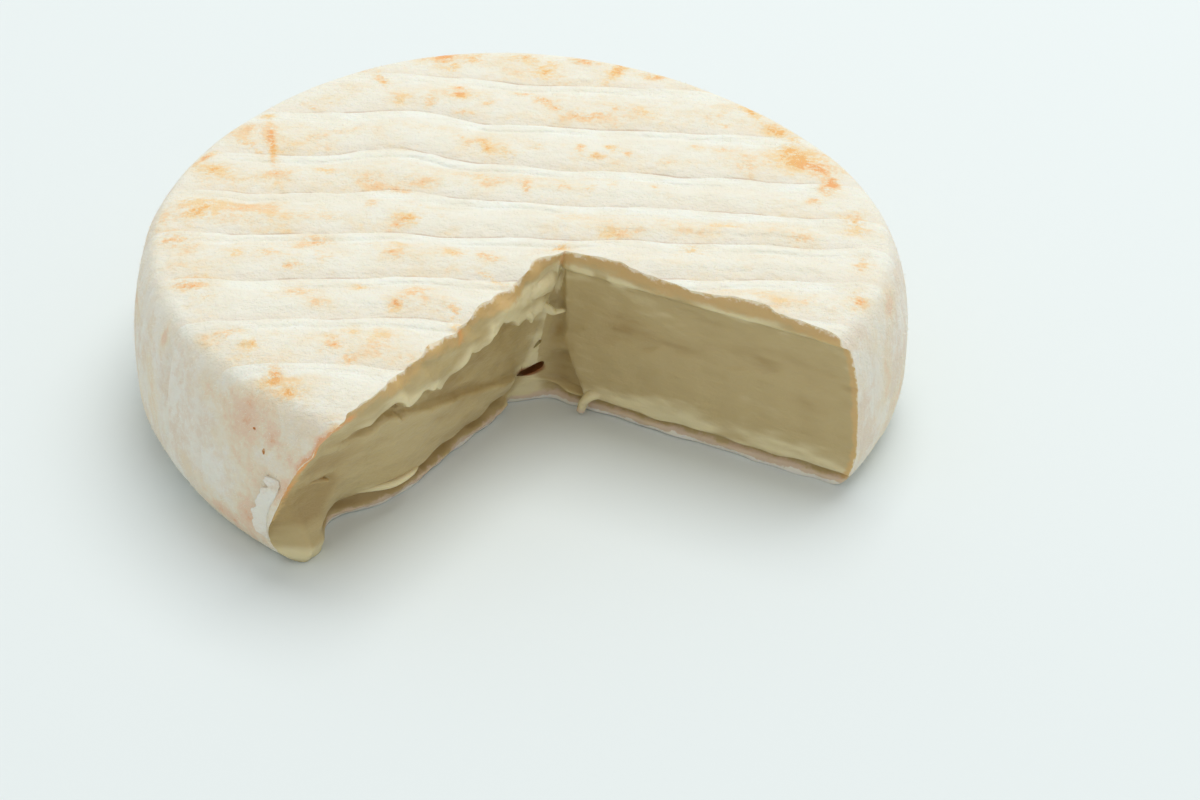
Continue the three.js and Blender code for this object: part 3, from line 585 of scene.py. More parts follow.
# What shows on the wheel. Each point of the mesh keeps how deep it lies inside the rind, which channel it
# lies behind, how far the orange of the washed crust shows through the white bloom there, how far the paste
# stands proud, which sets its painted light and shade, and where it was torn or left hollow.
BAR_SPACING = 14
RUN_OUT_ANGLES, RUN_OUT_HEIGHTS = (-124.4, -117), (0.3, 8)
TOP_CRUST, SIDE_CRUST, FAR_INSIDE = 2.2, 1.2, 9
TOP_BLUSHES = (
    # x, y, half length, half width, turn in degrees, and strength: below 0 it is whiter there
    # left, towards the back
    (-58, 18, 2.3, 2, 0, 0.9), (-59, 15, 1.5, 3, 0, 0.4), (-59, 3, 3.4, 3.6, 0, 0.85),
    (-52, 4, 5, 2.5, 0, 0.4), (-50, 39, 1.2, 0.9, 0, 0.9), (-42, 43, 2.5, 0.9, -35, 0.7),
    (-48, 28, 5.8, 0.6, 100, 1.3), (-52, 27, 3.2, 0.8, -45, 0.8), (-53, 33, 2.5, 0.7, 90, 0.5),
    (-60, 23, 3.5, 0.7, 50, 0.9), (-37, 18, 1.7, 1.4, -30, 0.8), (-46, 17, 3, 1.8, 0, 0.5),
    (-28, 14, 2, 1, -20, 0.6), (-23, 12, 2.4, 0.7, -15, 0.75), (-18, 14, 1.9, 1.8, 0, 0.55),
    (-7, 14, 2.6, 3.5, 0, 0.5), (-2, 25, 2.2, 1.8, 0, 0.5), (-7, 28, 2.3, 0.8, -70, 0.95),
    (-12, 31, 3.6, 1.2, -60, 0.45), (-17, 35, 3, 2, 0, 0.45), (-22, 28, 3, 0.9, 0, 0.45),
    (-35, 34, 4, 5, 0, 0.3), (-20, 1, 1.8, 1.3, 0, 1), (-22, -1, 1.8, 0.9, 30, 0.6),
    (-14, 2, 1, 1.2, 0, 0.65), (-18, 6, 1.1, 0.8, -30, 0.6), (-27, 6, 1.4, 2, 0, 0.45),
    (-35, 1, 3, 1.8, 0, 0.4), (-46, 3, 3, 3, 0, 0.35), (-36, -7, 3.2, 2.4, 0, 0.75),
    (-35, -11, 1.3, 2, 0, 0.6), (-62, -7, 4, 2, 0, 0.6), (-44, -12, 3.6, 3.2, 0, 0.5),
    # along the back rim
    (-17, 66, 1.6, 2.8, 10, 1.3), (-15, 61, 1.1, 2.6, 0, 0.8), (-20, 65, 1.8, 2, 0, 0.5),
    (-11, 65, 1.8, 2.6, 0, 0.65), (-1, 66, 2.6, 1.2, 0, 0.8), (3, 60, 1.6, 2.1, 20, 0.8),
    (5, 63, 2.5, 3, 0, 0.4), (11, 65, 2.3, 2.1, 0, 0.75), (18, 62, 3.1, 0.9, 72, 1.25),
    (25, 59, 1.6, 1.3, 0, 1.15), (33, 56, 1.6, 1, -30, 0.5), (-33, 60, 1, 0.9, 0, 0.7),
    (-29, 54, 3, 0.9, -65, 0.75), (-14, 52, 1.3, 1.3, 0, 0.9), (-13, 48, 1.6, 1.3, -30, 1.05),
    (-25, 47, 1.6, 2.6, 0, 0.5), (-19, 45, 0.9, 3, 0, 0.5), (-12, 42, 2.6, 0.9, -10, 0.7),
    (-8, 45, 1.3, 1.3, 0, 0.55), (-1, 50, 2, 0.8, -15, 0.75), (3, 47, 2.4, 1.1, -50, 1.1),
    (6, 44, 1.4, 0.8, -45, 0.9), (10, 41, 1.5, 1, 0, 0.9), (13, 41, 2.1, 1, 25, 1),
    (17, 44, 1.6, 1.3, 60, 0.6), (22, 43, 4, 2.2, 0, 0.45), (37, 42, 3, 3.6, 0, 0.4),
    # right
    (44, 45, 3.6, 1.1, -65, 0.8), (49, 37, 1.9, 1.5, -40, 1.05), (52, 34, 2.1, 0.9, -45, 0.75),
    (51, 30, 1.8, 1.6, -40, 1.2), (53, 26, 3, 2.6, -50, 1.5), (56, 23, 2.4, 1.7, -40, 1.4),
    (58, 17, 1.4, 2.2, -15, 1.5), (57, 14, 0.8, 1.2, 0, 0.9), (55, 11, 1.5, 0.9, 0, 1),
    (49, 11, 3.4, 1.8, 0, 0.4), (11, 28, 1, 2.3, 0, 0.9), (3, 28, 1.8, 1.4, 0, 0.5),
    (14, 25, 1.3, 1, 0, 0.8), (17, 28, 2, 1, -40, 0.85), (20, 26, 1, 1, 0, 0.75),
    (27, 23, 1.6, 1.6, 0, 0.45), (33, 29, 1.3, 1.1, 0, 0.55), (38, 29, 1.9, 1.3, 0, 0.6),
    (39, 39, 1, 0.9, 0, 0.8), (42, 22, 2.6, 4, 0, 0.35), (1, 13, 0.8, 2.4, 0, 0.85),
    (8, 13, 2.3, 2.3, 0, 0.6), (13, 13, 2.2, 2.8, 0, 0.65), (17, 14, 1, 2, 0, 0.65),
    (25, 14, 1, 1.4, 40, 0.95), (5, 9, 2.8, 0.9, 0, 0.55), (62, 4, 1.6, 2.4, 0, 0.8),
    (62, -10, 1.2, 2.2, 0, 0.75), (61, -22, 1.6, 2, 0, 0.8), (38, 1, 3, 1.4, 0, 0.45),
    (18, -3, 3, 1.6, 20, 0.55), (32, -8, 2.2, 2, 0, 0.5), (52, -3, 2.4, 1.4, 0, 0.5),
    # left, towards the front
    (-57, -22, 2.5, 1.3, -10, 0.9), (-53, -26, 1.8, 1.6, 0, 0.6), (-38, -24, 2.1, 2.3, 0, 0.65),
    (-34, -28, 1.4, 1.1, 20, 0.6), (-27, -22, 1.4, 0.9, 10, 0.8), (-20, -28, 1.1, 2.1, -20, 0.85),
    (-17, -24, 1.9, 1.8, 30, 0.65), (-10, -29, 1.3, 2.1, 0, 0.75), (-48, -37, 2.1, 1.7, 0, 0.8),
    (-44, -41, 1.9, 1.6, 0, 0.7), (-30, -41, 1.4, 1.5, 30, 0.85), (-27, -45, 1.1, 1.3, 0, 0.75),
    (-27, -36, 1.6, 2.1, 0, 0.55), (-22, -38, 2.1, 3, 0, 0.5), (-59, -41, 0.8, 2.6, 0, 0.85),
    (-39, -50, 0.9, 1.9, 0, 1.2), (-36, -54, 1.8, 1.1, -50, 1.05), (-33, -13, 3.2, 2.2, 0, 0.55),
    (-40, -16, 2.6, 1.3, 0, 0.75), (-50, -12, 2.2, 3, 0, 0.5), (-22, -11, 1.7, 2.1, 30, 0.7),
    (-11, -11, 1.8, 1.4, 0, 0.85), (-5, -12, 1.9, 1.2, -30, 0.95), (-4, -18, 2.6, 0.8, -25, 0.8),
    (-9, -33, 1.3, 1.2, 0, 0.7), (8, -8, 1.2, 0.7, 40, 1.2),
    # where the bloom is thickest
    (34, 12, 13, 5, 0, -0.5), (20, 34, 16, 3, 0, -0.4), (-24, 39, 14, 3, 0, -0.4),
    (-30, 24, 12, 2, 0, -0.3), (-6, 4, 4, 5, 0, -0.5), (-28, -9, 4, 3, 0, -0.4), (-40, -33, 10, 3, 0, -0.4),
)
SIDE_BLUSHES = (
    # angle in degrees, height, half width in degrees, half height, and strength
    (-153, 29, 1.4, 3, 0.9), (-155, 14, 2.2, 6, 0.7), (-138, 28, 2.6, 1.6, 0.7),
    (-129, 30, 1.6, 3, 0.75), (-124, 27, 1.7, 1.8, 1.2), (-122, 24, 2, 1.4, 0.6),
    (-128, 26, 6, 6, 0.75), (-126, 19, 5, 5, 0.65), (-130, 23, 1.4, 2, 0.7),
    (-138, 8, 2.4, 2.6, 0.7), (-134, 5, 5, 2.2, 1), (-129, 9, 3, 4.6, 0.8),
    (-144, 9, 1.6, 3.6, 0.6), (-14, 30, 3, 2.4, 0.7), (-19, 20, 1.6, 5, 0.5),
    (30, 22, 6, 4, 0.6), (95, 14, 7, 5, 0.6), (140, 20, 6, 4, 0.6), (178, 18, 4, 6, 0.6),
    (60, 9, 6, 3, 0.7), (8, 12, 5, 4, 0.6), (75, 28, 3, 2, 0.8), (118, 26, 4, 3, 0.7),
    (160, 10, 5, 3, 0.6), (-170, 24, 4, 2, 0.6), (-12, 10, 4, 3, 0.5), (-146, 18, 6, 7, -0.6),
    (20, 30, 6, 2, 0.5), (45, 16, 3, 5, 0.5), (-165, 8, 4, 3, 0.6),
)


def blush_on_top(x, y):
    """How much orange shows on top: each listed place counts as its strength over 1 plus the square of the
    distance from its middle, measured along its two axes. The strongest one shows, less the whiter places."""
    most, least = 0 * x, 0 * x
    for centre_x, centre_y, long, wide, turn, strength in TOP_BLUSHES:
        cos, sin = math.cos(math.radians(turn)), math.sin(math.radians(turn))
        along = (x - centre_x) * cos + (y - centre_y) * sin
        across = (y - centre_y) * cos - (x - centre_x) * sin
        amount = strength / (1 + (along / long) ** 2 + (across / wide) ** 2)
        most, least = np.maximum(most, amount), np.minimum(least, amount)
    return most + least


def blush_on_side(angle, z):
    """How much orange shows on the side, in the same way, by angle and height."""
    most, least = 0 * z, 0 * z
    for middle, level, wide, tall, strength in SIDE_BLUSHES:
        amount = strength / (1 + ((np.degrees(angle) - middle) / wide) ** 2 + ((z - level) / tall) ** 2)
        most, least = np.maximum(most, amount), np.minimum(least, amount)
    return most + least


def band_number(x, y):
    """Which channel a point lies behind, with the share of the way to the next as its fraction."""
    lines = crease_lines(x)
    lines = np.concatenate((lines[:1] - BAR_SPACING, lines, lines[-1:] + BAR_SPACING))
    low = np.clip((y >= lines).sum(axis=0) - 1, 0, len(lines) - 2)
    order = np.arange(x.size)
    return low + (y - lines[low, order]) / (lines[low + 1, order] - lines[low, order])


def wall_distances(x, y, wall_angle, facing):
    """How far each point lies along a wall from the apex, and how far in front of its top edge's line."""
    along = (x - APEX[0]) * math.cos(wall_angle) + (y - APEX[1]) * math.sin(wall_angle)
    return along, (x - APEX[0]) * facing[0] + (y - APEX[1]) * facing[1]


def left_wall_tone_and_light(along, z):
    """How much paler the left wall is: painted shade on the belly, painted highlights along the ledge's edge
    and on the roll at the foot, paler towards the apex and under the top rind, with cloudy streaks that climb
    outwards."""
    tone = -1.1 * (z < smear_height(along)) * smooth(4, 10, along)
    tone = tone + 0.7 * bell((z - ledge_height(along) - 0.9) / 1.4) * (1 - smooth(50, 58, along))
    tone = tone + 1.8 * bell((z - 6) / 2) * bell((along - 46) / 8)
    tone = tone + 1.3 * (1 - smooth(9, 22, along)) + 0.9 * smooth(28, 31, z)
    return tone + 0.9 * wander(along / 10, (z - 0.3 * along) / 2.5, 64)


def right_wall_tone(along, z):
    """How much paler the right wall is: pale patches under the rind near the apex, paler towards its foot and
    its top, with level cloudy streaks."""
    patches = 2.4 * bell((z - 32.0 + 0.08 * along) / 1.2) * smooth(1, 2, along)
    patches = patches * smooth(-0.6, 0.6, wander(along / 2.6, z / 2, 61)) * (1 - smooth(14, 20, along))
    tone = patches + 1.3 * (1 - smooth(4, 13, z)) + 1.4 * smooth(22, 30, z)
    return tone + 0.9 * wander(along / 12, z / 2.6, 63) + 0.5 * wander(along / 4, z / 0.9, 65)


def keep(mesh, name, values):
    """Stores one number for each point of a mesh under a name that a finish can read."""
    mesh.attributes.new(name, "FLOAT", "POINT").data.foreach_set("value", values.astype(np.float32))


def read_each(items, name, width):
    """One row of numbers for each face or point of a mesh."""
    values = np.empty(len(items) * width, np.int32 if name in ("vertices", "material_index") else np.float32)
    items.foreach_get(name, values)
    return values.reshape(-1, width).astype(float)


def points_of(mesh):
    """The X, Y and Z of a mesh's points in millimetres."""
    return read_each(mesh.vertices, "co", 3).T / MM


x, y, z = points_of(cheese.data)
angle, radius = np.arctan2(y, x), np.hypot(x, y)
pulled_in = np.minimum(1, top_radius(angle) / np.maximum(radius, 1))
top = top_height(x * pulled_in, y * pulled_in)
on_top = smooth(-3.5, -0.5, top_radius(angle) - radius) * smooth(-6, -3, z - top)
keep(cheese.data, "band", band_number(x, y))
keep(cheese.data, "on_top", on_top)
keep(cheese.data, "marks", smooth(2, 14, top_radius(angle) - radius) * on_top)

left_along, left_off = wall_distances(x, y, LEFT_WALL_ANGLE, LEFT_FACING)
right_along, right_off = wall_distances(x, y, RIGHT_WALL_ANGLE, RIGHT_FACING)
left_proud, right_proud = left_off + left_lean(left_along, z), right_off + right_lean(z)
on_left_wall = np.abs(left_proud) < np.abs(right_proud)
# The paste is painted paler where it stands proud of its plain wall and darker where it is set back: painted
# light and shade, to which the run-out's and the walls' tones are added.
proud = np.clip(np.where(on_left_wall, left_proud, right_proud), -3, 3)
run_out = smooth(55, 59, left_along) * on_left_wall
# The run-out's bulb is painted paler at its foot and darker in the hollow above it: painted light and shade.
run_out_light_and_shade = run_out * (2.2 * (1 - smooth(2, 9, z)) - 1.2 * bell((z - 12.5) / 5))
wall_tone_and_light = np.where(on_left_wall, left_wall_tone_and_light(left_along, z), right_wall_tone(right_along, z))
keep(cheese.data, "proud", proud + run_out_light_and_shade + wall_tone_and_light)

outer_end = smooth(56, 60, left_along) * (left_off > -22) * (left_off < 4)
blush = blush_on_top(x, y) * on_top + blush_on_side(angle, z) * (1 - on_top)
rim_tone = smooth(20, 25, z) * (1 - smooth(31, 33, z)) + 0.5 * bell((z - 18) / 2)
keep(cheese.data, "blush", blush + 1.1 * outer_end * rim_tone * (left_proud > -0.7))
crust = np.minimum((top - z) / TOP_CRUST, (side_profile(angle, z, top) - radius) / SIDE_CRUST)
crust = crust + FAR_INSIDE * outer_end * (1 - smooth(7, 10, z))
keep(cheese.data, "crust", np.minimum(crust, FAR_INSIDE))
keep(cheese.data, "under", z + FAR_INSIDE * outer_end)
# Inside the hollow the paste is painted dark brown: painted shade.
hollow = np.linalg.norm((points_of(cheese.data).T - HOLLOW_PLACE) / HOLLOW_SIZE, axis=1)
keep(cheese.data, "hollow", 1 - smooth(0.85, 1.1, hollow))

centre_x, centre_y, centre_z = read_each(cheese.data.polygons, "center", 3).T / MM
finish = read_each(cheese.data.polygons, "material_index", 1)[:, 0].astype(np.int32)
turn = np.degrees(np.arctan2(centre_y, centre_x)) + 0.5 * wander(centre_z / 1.2, 0, 62)
at_run_out = (turn > RUN_OUT_ANGLES[0]) & (turn < RUN_OUT_ANGLES[1])
finish[at_run_out & (centre_z > RUN_OUT_HEIGHTS[0]) & (centre_z < RUN_OUT_HEIGHTS[1])] = 1
cheese.data.polygons.foreach_set("material_index", finish)


def feed(node, feeds):
    """Gives a node's inputs values or other nodes' outputs."""
    for socket, value in feeds.items():
        if isinstance(value, bpy.types.NodeSocket):
            node.id_data.links.new(value, node.inputs[socket])
        else:
            node.inputs[socket].default_value = value


def add_node(tree, kind, feeds, **settings):
    """Places a node, sets its properties and feeds its inputs."""
    node = tree.nodes.new(kind)
    for name, value in settings.items():
        setattr(node, name, value)
    feed(node, feeds)
    return node


def colour(red, green, blue):
    """A colour as it looks on a screen, each part from 0 to 255, as the light values that a shader needs."""
    parts = np.array((red, green, blue)) / 255
    return (*np.where(parts > 0.04045, ((parts + 0.055) / 1.055) ** 2.4, parts / 12.92), 1)


def mixed(tree, mask, below, above):
    """A colour that goes from one to the other as the mask rises from 0 to 1."""
    return add_node(tree, "ShaderNodeMix", {0: mask, 6: below, 7: above}, data_type="RGBA").outputs[2]


def coated(tree, colour_below, *coats):
    """A colour with others laid over it in turn, each where its mask is 1."""
    for mask, colour_above in coats:
        colour_below = mixed(tree, mask, colour_below, colour_above)
    return colour_below


def rising(tree, value, low, high, top=1.0):
    """0 where the value is below low, and top where it is above high, or the other way round."""
    feeds = {"Value": value, "From Min": low, "From Max": high, "To Max": top}
    return add_node(tree, "ShaderNodeMapRange", feeds, interpolation_type="SMOOTHSTEP").outputs[0]


def maths(tree, operation, *values):
    """One calculation with two or three numbers, given by its name."""
    return add_node(tree, "ShaderNodeMath", dict(enumerate(values)), operation=operation).outputs[0]


def attribute(tree, name):
    """A number stored at the mesh's points."""
    return add_node(tree, "ShaderNodeAttribute", {}, attribute_name=name).outputs["Fac"]


def cloud_group():
    """A cloudy pattern of soft patches round 0, between about -0.5 and 0.5. Size is how far apart the patches
    lie along X, Y and Z in millimetres, and Shift moves the pattern so that two of them differ."""
    group = bpy.data.node_groups.new("cloudy_patches", "ShaderNodeTree")
    group.interface.new_socket("Size", in_out="INPUT", socket_type="NodeSocketVector")
    for name in ("Detail", "Roughness", "Shift"):
        group.interface.new_socket(name, in_out="INPUT", socket_type="NodeSocketFloat")
    group.interface.new_socket("Patches", in_out="OUTPUT", socket_type="NodeSocketFloat")
    given = add_node(group, "NodeGroupInput", {}).outputs
    place = add_node(group, "ShaderNodeTexCoord", {}).outputs["Object"]
    place = add_node(group, "ShaderNodeVectorMath", {0: place, "Scale": 1 / MM}, operation="SCALE").outputs[0]
    for name, operation in (("Size", "DIVIDE"), ("Shift", "ADD")):
        feeds = {0: place, 1: given[name]}
        place = add_node(group, "ShaderNodeVectorMath", feeds, operation=operation).outputs[0]
    feeds = {"Vector": place, "Scale": 1, "Detail": given["Detail"], "Roughness": given["Roughness"]}
    patches = add_node(group, "ShaderNodeTexNoise", feeds).outputs[0]
    add_node(group, "NodeGroupOutput", {"Patches": maths(group, "SUBTRACT", patches, 0.5)})
    return group


cloudy_patches = cloud_group()


def cloud(tree, size, detail=3, roughness=0.55, shift=0):
    """The cloudy pattern with its own values in a material."""
    feeds = {"Size": size, "Detail": detail, "Roughness": roughness, "Shift": shift}
    return add_node(tree, "ShaderNodeGroup", feeds, node_tree=cloudy_patches).outputs[0]


def clouded(tree, value, amount, *pattern):
    """A value plus an amount of the cloudy pattern."""
    return maths(tree, "MULTIPLY_ADD", cloud(tree, *pattern), amount, value)


def bumps(tree, height, strength):
    """The normal of a surface with a height in millimetres."""
    feeds = {"Height": height, "Distance": MM, "Strength": strength}
    return add_node(tree, "ShaderNodeBump", feeds).outputs[0]


# The washed rind: a white bloom of mould over a cream crust. It is thickest on the floors of the channels,
# and the beige and orange of the washing show through on the ridges in ragged patches. Each crease is a thin
# pinkish brown line of painted shade at the foot of its back wall, the ridge just behind it is painted a
# shade darker, and the side is whiter, mottled with pinkish beige.
WHITE_BLOOM, CREAM_BLOOM, SIDE_BLOOM = colour(243, 244, 232), colour(240, 236, 218), colour(243, 236, 222)
RIDGE_CREAM, BEHIND_CREASE_SHADE, CREASE_SHADE_BROWN = colour(238, 231, 211), colour(236, 225, 208), colour(204, 174, 150)
PINK_MOTTLE, WORN_BEIGE = colour(231, 211, 186), colour(240, 225, 194)
LIGHT_PEACH, LIGHT_OCHRE, LIGHT_ON_SIDE = colour(243, 207, 160), colour(243, 212, 160), colour(238, 208, 180)
DEEP_ORANGE, DEEP_OCHRE, DEEP_ON_SIDE = colour(241, 172, 108), colour(240, 183, 112), colour(232, 174, 128)
BAND_SHIFT = -0.004

rind_finish.use_nodes = True
tree = rind_finish.node_tree
fraction = maths(tree, "FRACT", maths(tree, "ADD", attribute(tree, "band"), BAND_SHIFT))
ahead = maths(tree, "MULTIPLY", maths(tree, "SUBTRACT", 1, fraction), BAR_SPACING)
behind = maths(tree, "MULTIPLY", fraction, BAR_SPACING)
marks, on_top, blush = attribute(tree, "marks"), attribute(tree, "on_top"), attribute(tree, "blush")

ragged_ahead = clouded(tree, ahead, 5, (7, 7, 7), 4, 0.6, 2)
on_ridge = maths(tree, "MULTIPLY", rising(tree, ragged_ahead, 2.6, 4.6), on_top)
worn = maths(tree, "MAXIMUM", on_ridge, maths(tree, "MULTIPLY_ADD", on_top, -0.7, 0.7))
shows = clouded(tree, 0.05, 1.5, (13, 9, 13), 2, 0.5)
shows = clouded(tree, shows, 1.2, (4.5, 4, 4.5), 4, 0.65, 4)
shows = clouded(tree, shows, 0.9, (1.3, 1.2, 1.3), 4, 0.7, 8)
shows = maths(tree, "MULTIPLY", shows, worn)
broken = clouded(tree, cloud(tree, (3.0, 2.5, 3.0), 4, 0.75, 12), on_top, (1.0, 0.8, 1.0), 3, 0.7, 14)
broken = maths(tree, "MULTIPLY_ADD", broken, maths(tree, "MULTIPLY_ADD", on_top, 1.6, 2.2), 1.0)
shows = maths(tree, "MULTIPLY_ADD", blush, broken, shows)
bloom = rising(tree, cloud(tree, (8, 6, 7), 3, 0.5, 6), -0.15, 0.2)
pink = clouded(tree, cloud(tree, (1.7, 1.7, 1.9), 4, 0.75, 22), 1.3, (9, 9, 11), 2, 0.5, 21)
pink = maths(tree, "MULTIPLY", rising(tree, pink, -0.1, 0.25, 0.65), maths(tree, "SUBTRACT", 1, on_top))
yellow = rising(tree, cloud(tree, (11, 10, 11), 1, 0.5, 17), -0.05, 0.1)
light_tone = mixed(tree, on_top, LIGHT_ON_SIDE, mixed(tree, yellow, LIGHT_PEACH, LIGHT_OCHRE))
deep_tone = mixed(tree, on_top, DEEP_ON_SIDE, mixed(tree, yellow, DEEP_ORANGE, DEEP_OCHRE))
# The crease line: a thin pinkish brown painted shade at the foot of each channel's back wall, where the marks
# show.
crease = maths(tree, "MAXIMUM", rising(tree, ahead, 0.22, 0.02), rising(tree, behind, 0.35, 0.05))
crease = maths(tree, "MULTIPLY", crease, rising(tree, cloud(tree, (7, 8, 9), 3, 0.6, 5), -0.08, 0.12, 0.6))
tone = coated(
    tree, mixed(tree, bloom, WHITE_BLOOM, CREAM_BLOOM),
    (rising(tree, on_top, 1, 0, 0.6), SIDE_BLOOM),
    (maths(tree, "MULTIPLY", on_ridge, 0.5), RIDGE_CREAM),
    # Just behind each crease the ridge is painted a darker beige: painted shade on the slope down to the
    # crease.
    (rising(tree, behind, 3.2, 0.4, 0.35), BEHIND_CREASE_SHADE),
    (pink, PINK_MOTTLE),
    (rising(tree, shows, -0.1, 0.5, 0.8), WORN_BEIGE),
    (rising(tree, shows, 0.3, 0.7, 0.85), light_tone),
    (rising(tree, shows, 0.75, 1.25, 0.85), deep_tone),
    (maths(tree, "MULTIPLY", crease, marks), CREASE_SHADE_BROWN),
)
fibres = cloud(tree, (0.5, 0.4, 0.4), 4, 0.7, 1)
lumps = cloud(tree, (2.4, 1.7, 2.0), 4, 0.6, 3)
folds = maths(tree, "MULTIPLY", cloud(tree, (16, 0.9, 6), 2, 0.5, 9), rising(tree, ahead, 6, 2.5))
height = maths(tree, "MULTIPLY_ADD", fibres, 0.35, maths(tree, "MULTIPLY_ADD", folds, 0.4, lumps))
feed(tree.nodes["Principled BSDF"], {
    "Base Color": tone, "Roughness": 0.85, "Specular IOR Level": 0.25, "Subsurface Weight": 0.12,
    "Subsurface Radius": (1.0, 0.7, 0.4), "Subsurface Scale": 0.0015, "Normal": bumps(tree, height, 0.7),
})

# The torn paste: soft, fatty and slightly see-through. It is painted paler where it stands proud, along the
# ledge's edge and on the roll, and darker where it is set back and on the belly: painted light and shade. Its
# hollow is painted dark brown, a painted shade. A beige layer of crust lies under the top rind, an orange
# line under the side's, and the underside's rind hangs out as a pinkish brown ragged edge with a white lip.
DARK_SHADED_PASTE, PASTE, PALE_LIT_PASTE = colour(174, 148, 98), colour(194, 173, 124), colour(228, 214, 170)
BEIGE_CRUST, ORANGE_CRUST = colour(212, 178, 120), colour(238, 166, 96)
# The hollow's brown is painted shade inside the hollow.
TORN_RIND, HOLLOW_SHADE_BROWN = colour(240, 228, 204), colour(142, 88, 46)
UNDER_CRUST, WHITE_LIP = colour(220, 196, 172), colour(240, 232, 216)

paste_finish.use_nodes = True
tree = paste_finish.node_tree
crust_depth, smear_light_and_shade = attribute(tree, "crust"), attribute(tree, "proud")
ragged = clouded(tree, crust_depth, 1.8, (4, 4, 2.4), 4, 0.65, 2)
torn = clouded(tree, crust_depth, 1.6, (1.6, 1.6, 1.2), 3, 0.65, 9)
smear_light_and_shade = clouded(tree, smear_light_and_shade, 2.2, (11, 11, 5), 2, 0.5, 4)
smear_light_and_shade = clouded(tree, smear_light_and_shade, 1.2, (5, 5, 1.8), 2, 0.5, 7)
under = clouded(tree, attribute(tree, "under"), 2.4, (3, 3, 2.4), 4, 0.65, 6)
crust = mixed(tree, rising(tree, attribute(tree, "blush"), 0.2, 0.9), BEIGE_CRUST, ORANGE_CRUST)
tone = coated(
    # Set-back paste is painted darker and proud paste paler: painted shade and painted light, on top of its
    # cloudy tone.
    tree, mixed(tree, rising(tree, smear_light_and_shade, -2.2, 0.4), DARK_SHADED_PASTE, PASTE),
    (rising(tree, smear_light_and_shade, 0.8, 2.6), PALE_LIT_PASTE),
    (rising(tree, ragged, 1.5, 0.8, 0.9), crust),
    (rising(tree, torn, 0.4, 0.02, 0.9), TORN_RIND),
    (attribute(tree, "hollow"), HOLLOW_SHADE_BROWN),
    (rising(tree, under, 2.3, 1.5, 0.9), UNDER_CRUST),
    (rising(tree, under, 1.0, 0.7), WHITE_LIP),
)
height = clouded(tree, cloud(tree, (6, 6, 2), 3, 0.5, 3), 0.25, (0.9, 0.9, 0.6), 3, 0.6, 1)
feed(tree.nodes["Principled BSDF"], {
    "Base Color": tone, "Roughness": 0.42, "Specular IOR Level": 0.35, "Subsurface Weight": 0.3,
    "Subsurface Radius": (1.0, 0.75, 0.35), "Subsurface Scale": 0.0025, "Normal": bumps(tree, height, 0.5),
})

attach(cheese, "root")
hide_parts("cheese")

# The torn flap: at the outer end of the left cut a strip of the side's rind came loose with the knife. It
# stands off the side by about a millimetre along its ragged left edge and is whiter than the rind round it.
FLAP_HEIGHTS = (5.6, 6.6, 7.9, 10.2, 11.5, 13.5, 15.5, 17.6, 18.8, 19.8)
FLAP_LEFT = (-125.6, -126.2, -126.7, -126.9, -126.8, -126.2, -125.4, -125.1, -124.4, -123.9)
FLAP_RIGHT = (-125.3, -125.2, -125.2, -125.0, -124.8, -124.2, -123.3, -122.5, -122.1, -122.4)
FLAP_THICKNESS, FLAP_LIFT = 0.8, 1.0


def flap_shape(rows=60, columns=24):
    """A thin skin over the side's surface, as a tube of flattened rings: each ring runs along its outside
    from the left edge to the right one and back along its inside. It is lifted most along the left edge."""
    v = np.linspace(0, 1, rows)[:, None]
    level = FLAP_HEIGHTS[0] + (FLAP_HEIGHTS[-1] - FLAP_HEIGHTS[0]) * v
    ragged = 0.42 * wander(level / 1.3, 0, 71) + 0.16 * wander(level / 0.5, 0, 72)
    ragged = ragged * (1 + 1.5 * smooth(16, 19, level))
    left = np.interp(level, FLAP_HEIGHTS, FLAP_LEFT) + ragged
    right = np.interp(level, FLAP_HEIGHTS, FLAP_RIGHT)
    u = np.linspace(0, 1, columns)
    turned = np.radians(left + (right - left) * u)
    plain = side_profile(turned, level, WHEEL_HEIGHT) + side_relief(turned, level, WHEEL_HEIGHT)
    ends = smooth(0, 0.15, v) * (1 - 0.7 * smooth(0.9, 1, v))
    lift = 0.15 + FLAP_LIFT * ends * (1 - u) ** 0.8 + 0.15 * wander(level / 2, turned * 30, 73)
    thickness = FLAP_THICKNESS * (0.35 + 0.65 * np.sin(np.pi * np.clip(u, 0.08, 0.92))) * (0.3 + 0.7 * ends)
    outside, inside = plain + lift, plain + lift - thickness
    ring_radius = np.concatenate((outside, inside[:, ::-1]), axis=1)
    ring_turn = np.concatenate((turned, turned[:, ::-1]), axis=1)
    height = level + 0 * ring_turn
    rings = np.stack((ring_radius * np.cos(ring_turn), ring_radius * np.sin(ring_turn), height), -1)
    return closed_rings(rings, rings[0].mean(axis=0), rings[-1].mean(axis=0))


flap = make_piece("rind_flap", *flap_shape(), (rind_finish,))
flap.data.shade_smooth()
blush = 0.1 * smooth(15, 20, points_of(flap.data)[2]) - 0.2
nothing = 0 * blush
for name, values in (("band", nothing + 0.5), ("on_top", nothing), ("marks", nothing), ("blush", blush)):
    keep(flap.data, name, values)
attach(flap, "root")
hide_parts("cheese")

# The bloom's fuzz: fine white threads of mould that stand off the rind, seen best against its outline. They
# start a little above the board, and each is a slim closed spike with three sides.
THREADS, THREAD_RADIUS, LONGEST_THREAD, SHORTEST_THREAD = 26000, 0.035, 0.85, 0.25
THREAD_LEAN, SUNK, LOWEST_THREAD = 0.55, 0.05, 1.5


